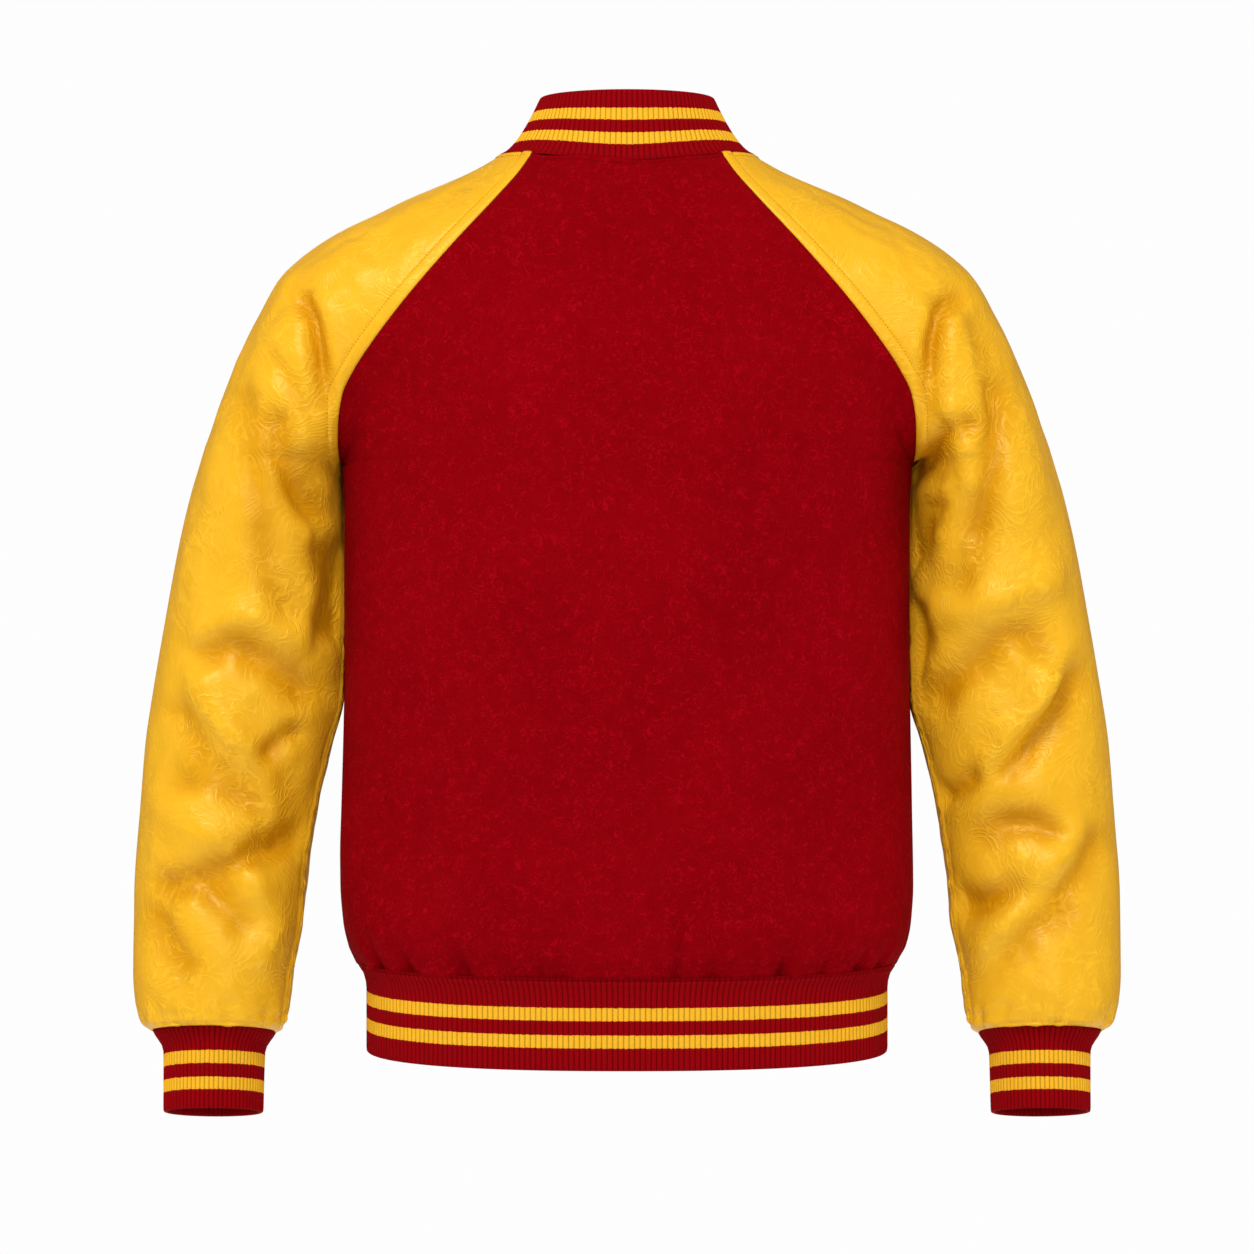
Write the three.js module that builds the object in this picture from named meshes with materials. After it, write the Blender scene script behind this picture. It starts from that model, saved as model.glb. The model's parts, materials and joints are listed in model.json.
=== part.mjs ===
// A varsity jacket, filled out as if it were worn: a melton wool body, leather raglan sleeves,
// and a collar, hem band and cuffs of rib knit, closed down the front with snaps.
// Millimetres. +Z is up, the back faces +Y, the front faces -Y, and the wearer's left is +X.
// The origin lies midway between the points where the neck seam crosses the two shoulders.

import * as THREE from 'three';

// Thickness of the cloth, and the gap left where two pieces are sewn together
const WOOL_WALL = 2.5;
const LEATHER_WALL = 2;
const KNIT_WALL = 2.2;
const RIB_HEIGHT = 0.9;
const SEAM_GAP = 0.3;

const WOOL = { color: '#95030f', roughness: 0.95, metalness: 0 };
const LEATHER = { color: '#f6c040', roughness: 0.5, metalness: 0 };
const KNIT = { color: '#8f040e', roughness: 0.9, metalness: 0 };
const SNAP_METAL = { color: '#b9bbbf', roughness: 0.3, metalness: 1 };

// The body in level sections: half its width, and its depth to the back and to the front
const BODY = [
  { z: -640, side: 188, back: 118, front: 121 },
  { z: -588, side: 196.5, back: 124, front: 126 },
  { z: -575, side: 203, back: 128, front: 130 },
  { z: -557, side: 207, back: 130.5, front: 133 },
  { z: -530, side: 208.8, back: 131.5, front: 134.5 },
  { z: -466, side: 207.7, back: 131, front: 135 },
  { z: -350, side: 206, back: 132, front: 138 },
  { z: -265, side: 206, back: 134, front: 137 },
  { z: -228, side: 207.8, back: 133.5, front: 133 },
  { z: -190, side: 213, back: 131, front: 124 },
  { z: -150, side: 212, back: 126, front: 110 },
  { z: -110, side: 192, back: 117, front: 92 },
  { z: -75, side: 162, back: 106, front: 69 },
  { z: -30, side: 116, back: 85, front: 48 },
  { z: -7, side: 92, back: 68, front: 38 },
  { z: 20, side: 68, back: 50, front: 30 },
  { z: 60, side: 45, back: 34, front: 22 },
];
const BODY_SQUARENESS = 2.35;

// The armpits, and the line along Y, level with them, that the upper sleeve's sections fan about
const ARMPIT_X = 208;
const ARMPIT_Z = -228;
const FAN_X = 120;
const FAN_RADIUS = 140;

// A sleeve in sections across it. "along" is the distance up the sleeve from the armpit's level:
// below it the sections are level, and above it they fan about the line, FAN_RADIUS from it.
// "outer" and "inner" are measured from that line, "back" and "front" from the middle at "y".
const SLEEVE = [
  { along: -440, outer: 214, inner: 145, back: 34, front: 34, y: 26 },
  { along: -408, outer: 227.5, inner: 131.5, back: 48, front: 48, y: 19 },
  { along: -401, outer: 233, inner: 127.4, back: 54, front: 54, y: 17.5 },
  { along: -385, outer: 237.5, inner: 125, back: 59, front: 59, y: 14 },
  { along: -365, outer: 239.2, inner: 122.6, back: 62, front: 62, y: 10 },
  { along: -330, outer: 239.3, inner: 116, back: 65, front: 65, y: 5 },
  { along: -311, outer: 239.2, inner: 114.8, back: 66, front: 66, y: 3 },
  { along: -238, outer: 234.6, inner: 104, back: 70, front: 70, y: -3 },
  { along: -201, outer: 231.8, inner: 95.4, back: 72, front: 73, y: -5 },
  { along: -165, outer: 226.6, inner: 89.8, back: 74, front: 75, y: -5 },
  { along: -110, outer: 217, inner: 89.7, back: 78, front: 78, y: -4 },
  { along: -55, outer: 206.6, inner: 89.7, back: 82, front: 82, y: -2 },
  { along: -18, outer: 197.6, inner: 89.5, back: 85, front: 84, y: 0 },
  { along: 0, outer: 192.2, inner: 88.2, back: 86, front: 85, y: 0 },
  { along: 27, outer: 184, inner: 76, back: 87, front: 86, y: 0 },
  { along: 57, outer: 181.8, inner: 72, back: 87, front: 87, y: 0 },
  { along: 88, outer: 185.2, inner: 72, back: 87, front: 87, y: 0 },
  { along: 120, outer: 193, inner: 76, back: 86, front: 86, y: 0 },
  { along: 169, outer: 195, inner: 78, back: 83, front: 80, y: 0 },
  { along: 198, outer: 202, inner: 88, back: 77, front: 72, y: 0 },
  { along: 225, outer: 209, inner: 100, back: 68, front: 63, y: 0 },
  { along: 237, outer: 213, inner: 107, back: 62, front: 58, y: 0 },
  { along: 280, outer: 219, inner: 121, back: 48, front: 48, y: 0 },
];
const SLEEVE_SQUARENESS = 2.1;

// How widely the sleeve and the body run into each other, by height
const SHOULDER_BLEND = [
  { z: -228, reach: 1 },
  { z: -215, reach: 6 },
  { z: -190, reach: 18 },
  { z: -150, reach: 34 },
  { z: -90, reach: 48 },
  { z: 60, reach: 48 },
];

// The neck seam seen from above, and the raglan seams as [x, z] seen from behind and in front.
// Each starts on the neck seam, whose height is the form's own, and ends at the armpit.
const NECK = { side: 93, back: 68, front: 72 };
const RAGLAN = {
  back: [
    [68, -4], [77, -15], [92.5, -34], [125, -70.5], [156, -107], [183, -142], [195, -160],
    [203.5, -178], [207, -200], [ARMPIT_X, ARMPIT_Z],
  ],
  front: [
    [74, -20], [84, -36], [102, -62], [130, -96], [157, -130], [182, -163], [197, -187],
    [205, -208], [ARMPIT_X, ARMPIT_Z],
  ],
};
// The underarm seam, in degrees round the sleeve from its outer side
const UNDERARM_TURN = [
  { along: -409, turn: 165 },
  { along: -220, turn: 163 },
  { along: -70, turn: 176 },
  { along: 0, turn: 180 },
];

// The seams at the hem and at the wrists, and how far their planes tip: z changes by tip times y
const HEM_SEAM_Z = -588;
const HEM_TIP = -0.046;
const WRIST_SEAM = { x: 299.5, y: 19, along: -407.7 };
const WRIST_TIP = 0.185;
const WRIST_TIP_FROM = -250;
const HEM_TIP_FROM = -480;

// The front closes left over right. Each edge passes the middle, and the left one stands off.
const FRONT_EDGE = 13;
const LAP_LIFT = 3.3;
const LAP_FULL_X = 14;
const LAP_NONE_X = 46;

// Rows and columns of the panels
const UPPER_ROWS = 12;
const BODY_ROWS = 11;
const SLEEVE_ROWS = 15;
const BACK_HALF_COLUMNS = 8;
const FRONT_COLUMNS = 9;
const SLEEVE_COLUMNS = 8;
const BODY_GATHER_TOP = -548;
const SLEEVE_GATHER_TOP = -374;
const GATHER_ROWS = 3;

// Gathers above the hem band, in degrees round the body from the middle of the back towards +X
const HEM_GATHERS = [
  { turn: 7, depth: 1.4, height: 26 }, { turn: 21.4, depth: 2, height: 20 },
  { turn: 26, depth: 2.4, height: 18 }, { turn: 47, depth: 3.6, height: 40 },
  { turn: 61.3, depth: 2.6, height: 24 }, { turn: 70.5, depth: 3, height: 28 },
  { turn: 83, depth: 2.6, height: 26 }, { turn: 97, depth: 2.8, height: 28 },
  { turn: 109, depth: 3, height: 24 }, { turn: 121, depth: 2.4, height: 30 },
  { turn: 133, depth: 3.2, height: 34 }, { turn: 148, depth: 2.2, height: 22 },
  { turn: 161, depth: 2.4, height: 28 }, { turn: -16, depth: 3, height: 52 },
  { turn: -25.8, depth: 2.2, height: 18 }, { turn: -45.2, depth: 3.8, height: 30 },
  { turn: -55.1, depth: 2.4, height: 20 }, { turn: -65.1, depth: 2.8, height: 24 },
  { turn: -72, depth: 2.6, height: 26 }, { turn: -84, depth: 2.4, height: 28 },
  { turn: -96, depth: 3, height: 26 }, { turn: -110, depth: 2.6, height: 32 },
  { turn: -123, depth: 3.4, height: 26 }, { turn: -136, depth: 2.4, height: 22 },
  { turn: -150, depth: 3, height: 32 }, { turn: -164, depth: 2.2, height: 24 },
];
// Gathers above the cuffs, in degrees round each sleeve from its outer side towards the back
const CUFF_GATHERS = {
  left: [
    { turn: 22, depth: 2, height: 18 }, { turn: 49, depth: 2.6, height: 22 },
    { turn: 61, depth: 2.2, height: 16 }, { turn: 106, depth: 2.6, height: 20 },
    { turn: 140, depth: 2.4, height: 20 }, { turn: -25, depth: 2.2, height: 20 },
    { turn: -58, depth: 2.6, height: 22 }, { turn: -95, depth: 2.2, height: 18 },
    { turn: -131, depth: 2.6, height: 22 },
  ],
  right: [
    { turn: 30, depth: 2.2, height: 18 }, { turn: 78, depth: 2.6, height: 20 },
    { turn: 97.5, depth: 2.4, height: 24 }, { turn: 123, depth: 2.6, height: 18 },
    { turn: 148, depth: 2, height: 18 }, { turn: -20, depth: 2.4, height: 20 },
    { turn: -50, depth: 2.2, height: 22 }, { turn: -84, depth: 2.6, height: 18 },
    { turn: -122, depth: 2.4, height: 22 },
  ],
};
const GATHER_HALF_WIDTH = 4.5;

// The largest folds. Each is a trough, or where its depth is negative a ridge, along a path of
// [x, z] seen from behind or in front, with x taken outwards from the middle on either side.
const SLEEVE_FOLDS = {
  left: {
    back: [
      { depth: 7, width: 9, path: [[231, -108], [224, -124], [217, -153], [210, -181]] },
      { depth: 5, width: 13, path: [[254, -199], [250, -213], [240, -238], [229, -253]] },
      { depth: 5, width: 12, path: [[275, -181], [268, -224], [260, -267], [254, -310], [243, -334]] },
      { depth: 8, width: 13, path: [[302, -366], [286, -356], [272, -360], [254, -370], [232, -388]] },
      { depth: -5, width: 13, path: [[304, -345], [275, -336], [240, -347]] },
      { depth: -6, width: 12, path: [[309, -376], [304, -395], [290, -416], [275, -430]] },
      { depth: 6, width: 12, path: [[320, -406], [307, -426]] },
      { depth: 5, width: 14, path: [[318, -452], [304, -446], [286, -449], [272, -463]] },
      { depth: -4, width: 14, path: [[325, -470], [308, -488], [285, -498]] },
      { depth: 9, width: 13, path: [[290, -514], [275, -506], [247, -499]] },
      { depth: 6, width: 13, path: [[330, -529], [318, -525], [300, -527], [286, -538], [276, -555]] },
      { depth: -5, width: 12, path: [[286, -518], [268, -538], [258, -560], [263, -580]] },
      { depth: 6, width: 12, path: [[341, -552], [329, -570], [317, -586]] },
    ],
    front: [
      { depth: 6, width: 12, path: [[238, -120], [226, -150], [214, -190]] },
      { depth: 7, width: 14, path: [[318, -352], [290, -340], [262, -352], [238, -372]] },
      { depth: -5, width: 13, path: [[322, -330], [292, -318], [262, -326]] },
      { depth: 8, width: 14, path: [[330, -408], [300, -398], [268, -410], [242, -428]] },
      { depth: -5, width: 13, path: [[326, -378], [298, -370], [262, -384]] },
      { depth: 7, width: 13, path: [[334, -470], [305, -462], [276, -474]] },
      { depth: 6, width: 13, path: [[336, -540], [308, -528], [278, -540]] },
    ],
  },
  right: {
    back: [
      { depth: 7, width: 9, path: [[236, -108], [227, -113], [218, -140], [212, -171], [209, -188]] },
      { depth: 4, width: 13, path: [[242, -201], [227, -205], [216, -231]] },
      { depth: 5, width: 12, path: [[268, -174], [265, -203], [259, -231], [250, -274], [240, -315]] },
      {
        depth: 7,
        width: 13,
        path: [[302, -361], [290, -351], [274, -349], [259, -360], [242, -375], [224, -392]],
      },
      { depth: -5, width: 13, path: [[231, -333], [266, -324], [302, -310]] },
      { depth: 7, width: 12, path: [[322, -381], [309, -406], [291, -424], [272, -444]] },
      { depth: -6, width: 12, path: [[311, -362], [298, -395], [276, -425], [268, -442]] },
      { depth: 6, width: 13, path: [[256, -491], [270, -485], [291, -484], [309, -492]] },
      { depth: -6, width: 12, path: [[318, -490], [305, -510], [288, -531], [270, -552], [259, -573]] },
      { depth: 6, width: 12, path: [[339, -498], [327, -518], [313, -531]] },
      { depth: 9, width: 13, path: [[248, -543], [266, -539], [281, -532]] },
      { depth: 6, width: 12, path: [[313, -550], [291, -559], [269, -577]] },
    ],
    front: [
      { depth: 6, width: 12, path: [[236, -124], [224, -156], [213, -192]] },
      { depth: 7, width: 14, path: [[312, -346], [286, -336], [256, -350], [234, -366]] },
      { depth: -5, width: 13, path: [[318, -322], [286, -312], [256, -322]] },
      { depth: 8, width: 14, path: [[326, -418], [298, -404], [266, -414], [240, -436]] },
      { depth: 7, width: 13, path: [[334, -482], [302, -470], [272, -484]] },
      { depth: 6, width: 13, path: [[332, -548], [304, -534], [274, -548]] },
    ],
  },
};
// The wool hangs in a few broad soft waves, the same at the back and the front
const BODY_FOLDS = [
  { depth: 3, width: 34, path: [[108, -205], [122, -330], [140, -450], [150, -530]] },
  { depth: -2.5, width: 30, path: [[60, -250], [80, -400], [120, -545]] },
];

// A smooth line through one column of a table, by another column that rises or falls
function column(table, key, name) {
  const rows = [...table].sort((a, b) => a[key] - b[key]);
  const at = rows.map((row) => row[key]);
  const value = rows.map((row) => row[name]);
  const last = at.length - 1;
  const rise = at.slice(1).map((next, i) => (value[i + 1] - value[i]) / (next - at[i]));
  const slope = at.map((_, i) => {
    if (i === 0) return rise[0];
    if (i === last) return rise[last - 1];
    const product = rise[i - 1] * rise[i];
    return product <= 0 ? 0 : (2 * product) / (rise[i - 1] + rise[i]);
  });
  return (wanted) => {
    const x = Math.min(Math.max(wanted, at[0]), at[last]);
    let i = 0;
    while (i < last - 1 && x > at[i + 1]) i += 1;
    const width = at[i + 1] - at[i];
    const t = (x - at[i]) / width;
    const lift = t * (1 - t) * ((1 - t) * slope[i] - t * slope[i + 1]) * width;
    const ease = t * t * (3 - 2 * t);
    return value[i] + (value[i + 1] - value[i]) * ease + lift;
  };
}

const { lerp, smoothstep, degToRad, radToDeg } = THREE.MathUtils;

const bodyAt = {
  side: column(BODY, 'z', 'side'),
  back: column(BODY, 'z', 'back'),
  front: column(BODY, 'z', 'front'),
};
const sleeveAt = {
  outer: column(SLEEVE, 'along', 'outer'),
  inner: column(SLEEVE, 'along', 'inner'),
  back: column(SLEEVE, 'along', 'back'),
  front: column(SLEEVE, 'along', 'front'),
  y: column(SLEEVE, 'along', 'y'),
};
const blendAt = column(SHOULDER_BLEND, 'z', 'reach');
const underarmTurnAt = column(UNDERARM_TURN, 'along', 'turn');

// Distance outside a rounded section, negative inside, along the line from its middle
function sectionDistance(across, deep, halfWidth, halfDepth, squareness) {
  const from = Math.max(Math.hypot(across, deep), 1e-6);
  const ratio = Math.abs(across / halfWidth) ** squareness + Math.abs(deep / halfDepth) ** squareness;
  return from - from / Math.max(ratio ** (1 / squareness), 1e-9);
}

function bodyField(x, y, z) {
  const depth = y > 0 ? bodyAt.back(z) : bodyAt.front(z);
  return sectionDistance(x, y, bodyAt.side(z), depth, BODY_SQUARENESS);
}

function sleeveField(x, y, z) {
  const right = Math.abs(x) - FAN_X;
  const up = z - ARMPIT_Z;
  const along = up > 0 ? Math.atan2(up, right) * FAN_RADIUS : up;
  const from = up > 0 ? Math.hypot(up, right) : right;
  const outer = sleeveAt.outer(along);
  const inner = sleeveAt.inner(along);
  const deep = y - sleeveAt.y(along);
  const depth = deep > 0 ? sleeveAt.back(along) : sleeveAt.front(along);
  return sectionDistance(from - (outer + inner) / 2, deep, (outer - inner) / 2, depth, SLEEVE_SQUARENESS);
}

function shoulderField(x, y, z) {
  const body = bodyField(x, y, z);
  const sleeve = sleeveField(x, y, z);
  const reach = blendAt(z);
  const shared = Math.max(reach - Math.abs(body - sleeve), 0);
  return Math.min(body, sleeve) - (shared * shared) / (4 * reach);
}

// The point where a line from inside the form first leaves it
const MARCH_STEP = 3;
const MARCH_LIMIT = 600;
const MARCH_HALVINGS = 30;
function leave(from, toward, field) {
  const direction = toward.clone().sub(from).normalize();
  const at = (far) => from.clone().addScaledVector(direction, far);
  const outside = (far) => field(...at(far).toArray()) > 0;
  let far = MARCH_STEP;
  while (!outside(far) && far < MARCH_LIMIT) far += MARCH_STEP;
  let near = far - MARCH_STEP;
  for (let i = 0; i < MARCH_HALVINGS; i += 1) {
    const middle = (near + far) / 2;
    if (outside(middle)) far = middle;
    else near = middle;
  }
  return at(near);
}

// The direction in which the form's surface faces
const SLOPE_STEP = 0.6;
function facing(p, field) {
  const along = (x, y, z) => field(p.x + x, p.y + y, p.z + z) - field(p.x - x, p.y - y, p.z - z);
  return new THREE.Vector3(
    along(SLOPE_STEP, 0, 0),
    along(0, SLOPE_STEP, 0),
    along(0, 0, SLOPE_STEP),
  ).normalize();
}

// A point of the neck seam, by its x and by whether it lies behind or in front
const INSIDE_Z = -130;
const ABOVE_Z = 200;
function neckPoint(x, side) {
  const depth = side === 'back' ? NECK.back : -NECK.front;
  const y = depth * Math.sqrt(Math.max(1 - (x / NECK.side) ** 2, 0));
  return leave(new THREE.Vector3(x, y, INSIDE_Z), new THREE.Vector3(x, y, ABOVE_Z), shoulderField);
}

// The same by its direction from the middle, in degrees from the back towards +X
function neckPointAt(turn) {
  const angle = degToRad(turn);
  const depth = Math.cos(angle) > 0 ? NECK.back : NECK.front;
  const radius = 1 / Math.hypot(Math.sin(angle) / NECK.side, Math.cos(angle) / depth);
  const x = radius * Math.sin(angle);
  return neckPoint(x, Math.cos(angle) > 0 ? 'back' : 'front');
}

// The direction of a point from the middle, in degrees from the back round the left side
function turnOf(point) {
  return (radToDeg(Math.atan2(point.x, point.y)) + 360) % 360;
}

// Points along a raglan seam of the left side, from 0 at the neck to 1 at the armpit, where it
// dives under the arm and its points crowd together
const SEAM_CROWDING = 1.35;
const FAR_Y = 400;
function raglanSeam(side) {
  const [[neckX], ...rest] = RAGLAN[side];
  const neck = neckPoint(neckX, side);
  let length = 0;
  const table = [[neck.x, neck.z], ...rest].map(([x, z], i, path) => {
    if (i > 0) length += Math.hypot(x - path[i - 1][0], z - path[i - 1][1]);
    return { length, x, z };
  });
  const xAt = column(table, 'length', 'x');
  const zAt = column(table, 'length', 'z');
  const faceY = side === 'back' ? FAR_Y : -FAR_Y;
  return (t) => {
    if (t === 0) return neck.clone();
    if (t === 1) return new THREE.Vector3(ARMPIT_X, 0, ARMPIT_Z);
    const far = (1 - (1 - t) ** SEAM_CROWDING) * length;
    const [x, z] = [xAt(far), zAt(far)];
    return leave(new THREE.Vector3(x, 0, z), new THREE.Vector3(x, faceY, z), shoulderField);
  };
}
const raglan = { back: raglanSeam('back'), front: raglanSeam('front') };

// How far the folds draw in a point that is seen at x and z
function foldDepth(x, z, folds) {
  let depth = 0;
  for (const fold of folds) {
    let nearest = Infinity;
    fold.path.slice(1).forEach(([bx, bz], i) => {
      const [ax, az] = fold.path[i];
      const t = ((x - ax) * (bx - ax) + (z - az) * (bz - az)) / ((bx - ax) ** 2 + (bz - az) ** 2);
      const along = Math.min(Math.max(t, 0), 1);
      nearest = Math.min(nearest, Math.hypot(x - ax - along * (bx - ax), z - az - along * (bz - az)));
    });
    depth += fold.depth * Math.exp(-((nearest / fold.width) ** 2));
  }
  return depth;
}

// How far the gathers draw in a point that stands "above" over a seam. A degree of turn is
// "degree" long. A gather is deepest part of the way up and eases off towards the seam.
const GATHER_EASE = 0.6;
function gatherDepth(turn, above, gathers, degree) {
  let depth = 0;
  for (const gather of gathers) {
    const across = ((turn - gather.turn) * degree) / GATHER_HALF_WIDTH;
    const fade = Math.min(Math.max(1 - above / gather.height, 0), 1);
    depth += 2 * gather.depth * Math.exp(-(across ** 2)) * fade * (1 - GATHER_EASE * fade);
  }
  return depth;
}

// Where the columns of a gathered row stand: evenly, and at each gather's bottom and shoulders
const COLUMN_FROM_EDGE = 0.015;
const COLUMN_LEAST = 0.006;
function columnsWith(even, gathers, from, to, halfTurn) {
  const marks = [...even];
  for (const { turn } of gathers) {
    for (const shift of [-halfTurn, 0, halfTurn]) {
      const u = (turn + shift - from) / (to - from);
      if (u > COLUMN_FROM_EDGE && u < 1 - COLUMN_FROM_EDGE) marks.push(u);
    }
  }
  marks.sort((a, b) => a - b);
  return marks.filter((u, i) => i === 0 || u === 1 || u - marks[i - 1] > COLUMN_LEAST);
}

function evenColumns(count) {
  return Array.from({ length: count + 1 }, (_, i) => i / count);
}

// A closed wall between outer and inner rows of points. Each row holds its points and, from 0
// to 1, where they stand along it, and rows may be spaced differently. A ring joins its ends.
function wallGeometry(outer, inner, ring) {
  const positions = [];
  const faces = [];
  const enter = (row) => {
    const first = positions.length / 3;
    row.points.forEach((point) => positions.push(...point.toArray()));
    const index = row.points.map((_, i) => first + i);
    return ring ? { index: [...index, first], at: [...row.at, 1] } : { index, at: row.at };
  };
  const stitch = (a, b, flip) => {
    const add = (i, j, k) => (flip ? faces.push(k, j, i) : faces.push(i, j, k));
    let i = 0;
    let j = 0;
    while (i < a.at.length - 1 || j < b.at.length - 1) {
      const nextA = i < a.at.length - 1 ? a.at[i + 1] : Infinity;
      const nextB = j < b.at.length - 1 ? b.at[j + 1] : Infinity;
      if (nextA <= nextB) {
        add(a.index[i], a.index[i + 1], b.index[j]);
        i += 1;
      } else {
        add(a.index[i], b.index[j + 1], b.index[j]);
        j += 1;
      }
    }
  };
  const outerRows = outer.map(enter);
  const innerRows = inner.map(enter);
  const last = outer.length - 1;
  for (let r = 0; r < last; r += 1) {
    stitch(outerRows[r], outerRows[r + 1], false);
    stitch(innerRows[r], innerRows[r + 1], true);
    if (!ring) {
      const corners = (end) => [outerRows, innerRows].flatMap((rows) => [rows[r], rows[r + 1]])
        .map(({ index }) => index.at(end));
      const [oa, ob, ia, ib] = corners(0);
      faces.push(oa, ob, ib, oa, ib, ia);
      const [pa, pb, qa, qb] = corners(-1);
      faces.push(pb, pa, qb, qb, pa, qa);
    }
  }
  stitch(innerRows[0], outerRows[0], false);
  stitch(outerRows[last], innerRows[last], false);
  const geometry = new THREE.BufferGeometry();
  geometry.setAttribute('position', new THREE.Float32BufferAttribute(positions, 3));
  geometry.setIndex(faces);
  return geometry;
}

// Turns a closed mesh right side out
function faceOutwards(geometry) {
  const flat = geometry.index ? geometry.toNonIndexed() : geometry;
  const p = flat.attributes.position;
  const [a, b, c] = [new THREE.Vector3(), new THREE.Vector3(), new THREE.Vector3()];
  let volume = 0;
  for (let i = 0; i < p.count; i += 3) {
    a.fromBufferAttribute(p, i);
    b.fromBufferAttribute(p, i + 1);
    c.fromBufferAttribute(p, i + 2);
    volume += a.dot(b.cross(c));
  }
  if (volume < 0 && geometry.index) geometry.index.array.reverse();
  return geometry;
}

// A sewn panel from rows of surface points with their facings. Its borders draw back from the
// seams by half the gap: the first row away from the neck, the last one up, and a row's ends
// the way that "start" and "end" point. An end without one is a free edge.
function panelGeometry(rows, wall) {
  const lastRow = rows.length - 1;
  const drawnBack = ({ point, normal }, before, after, guide) => {
    const side = normal.clone().cross(after.point.clone().sub(before.point)).normalize();
    if (side.dot(guide) < 0) side.negate();
    return point.clone().addScaledVector(side, SEAM_GAP / 2).sub(point);
  };
  const shiftOf = (r, c) => {
    const row = rows[r];
    const here = row.points[c];
    const lastColumn = row.points.length - 1;
    const shift = new THREE.Vector3();
    const guide = (c === 0 && row.start) || (c === lastColumn && row.end);
    if (guide) {
      const end = (k) => rows[k].points.at(c === 0 ? 0 : -1);
      shift.add(drawnBack(here, end(Math.max(r - 1, 0)), end(Math.min(r + 1, lastRow)), guide));
    }
    if (r === 0 || r === lastRow) {
      const before = row.points[Math.max(c - 1, 0)];
      const after = row.points[Math.min(c + 1, lastColumn)];
      const outwards = new THREE.Vector3(here.point.x, here.point.y, 0);
      shift.add(drawnBack(here, before, after, r === 0 ? outwards : new THREE.Vector3(0, 0, 1)));
    }
    return shift;
  };
  const outer = rows.map(({ points, at }, r) => ({
    at,
    points: points.map(({ point }, c) => point.clone().add(shiftOf(r, c))),
  }));
  const inner = rows.map(({ points, at }, r) => ({
    at,
    points: points.map(({ normal }, c) => outer[r].points[c].clone().addScaledVector(normal, -wall)),
  }));
  return wallGeometry(outer, inner, false);
}

function mirrored(vector) {
  return vector && new THREE.Vector3(-vector.x, vector.y, vector.z);
}

// The same row on the wearer's right
function mirroredRow({ at, points, start, end }) {
  return {
    at,
    points: points.map(({ point, normal }) => ({ point: mirrored(point), normal: mirrored(normal) })),
    start: mirrored(start),
    end: mirrored(end),
  };
}

// One row level of the body: either a fraction t of the way from the neck to the armpit, or
// below that the height z at the body's middle
const bodyLevels = [
  ...evenColumns(UPPER_ROWS).map((t) => ({ t, z: ARMPIT_Z })),
  ...evenColumns(BODY_ROWS).slice(1).map((s) => ({ t: 1, z: lerp(ARMPIT_Z, BODY_GATHER_TOP, s) })),
  ...evenColumns(GATHER_ROWS).slice(1).map((s) => ({
    t: 1,
    z: lerp(BODY_GATHER_TOP, HEM_SEAM_Z, s),
    gathered: true,
  })),
];

function hemTip(z) {
  return HEM_TIP * smoothstep(HEM_TIP_FROM - z, 0, HEM_TIP_FROM - HEM_SEAM_Z);
}

// The point of a level body section in the direction "turn"
function bodySection(turn, z, field) {
  const angle = degToRad(turn);
  const y = FAR_Y * Math.cos(angle);
  const toward = new THREE.Vector3(FAR_Y * Math.sin(angle), y, z + hemTip(z) * y);
  return leave(new THREE.Vector3(0, 0, z), toward, field);
}

// The point of the body at x in the same section
function bodyAtX(x, side, z, field) {
  const y = side === 'back' ? FAR_Y : -FAR_Y;
  return leave(new THREE.Vector3(x, 0, z), new THREE.Vector3(x, y, z + hemTip(z) * y), field);
}

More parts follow.
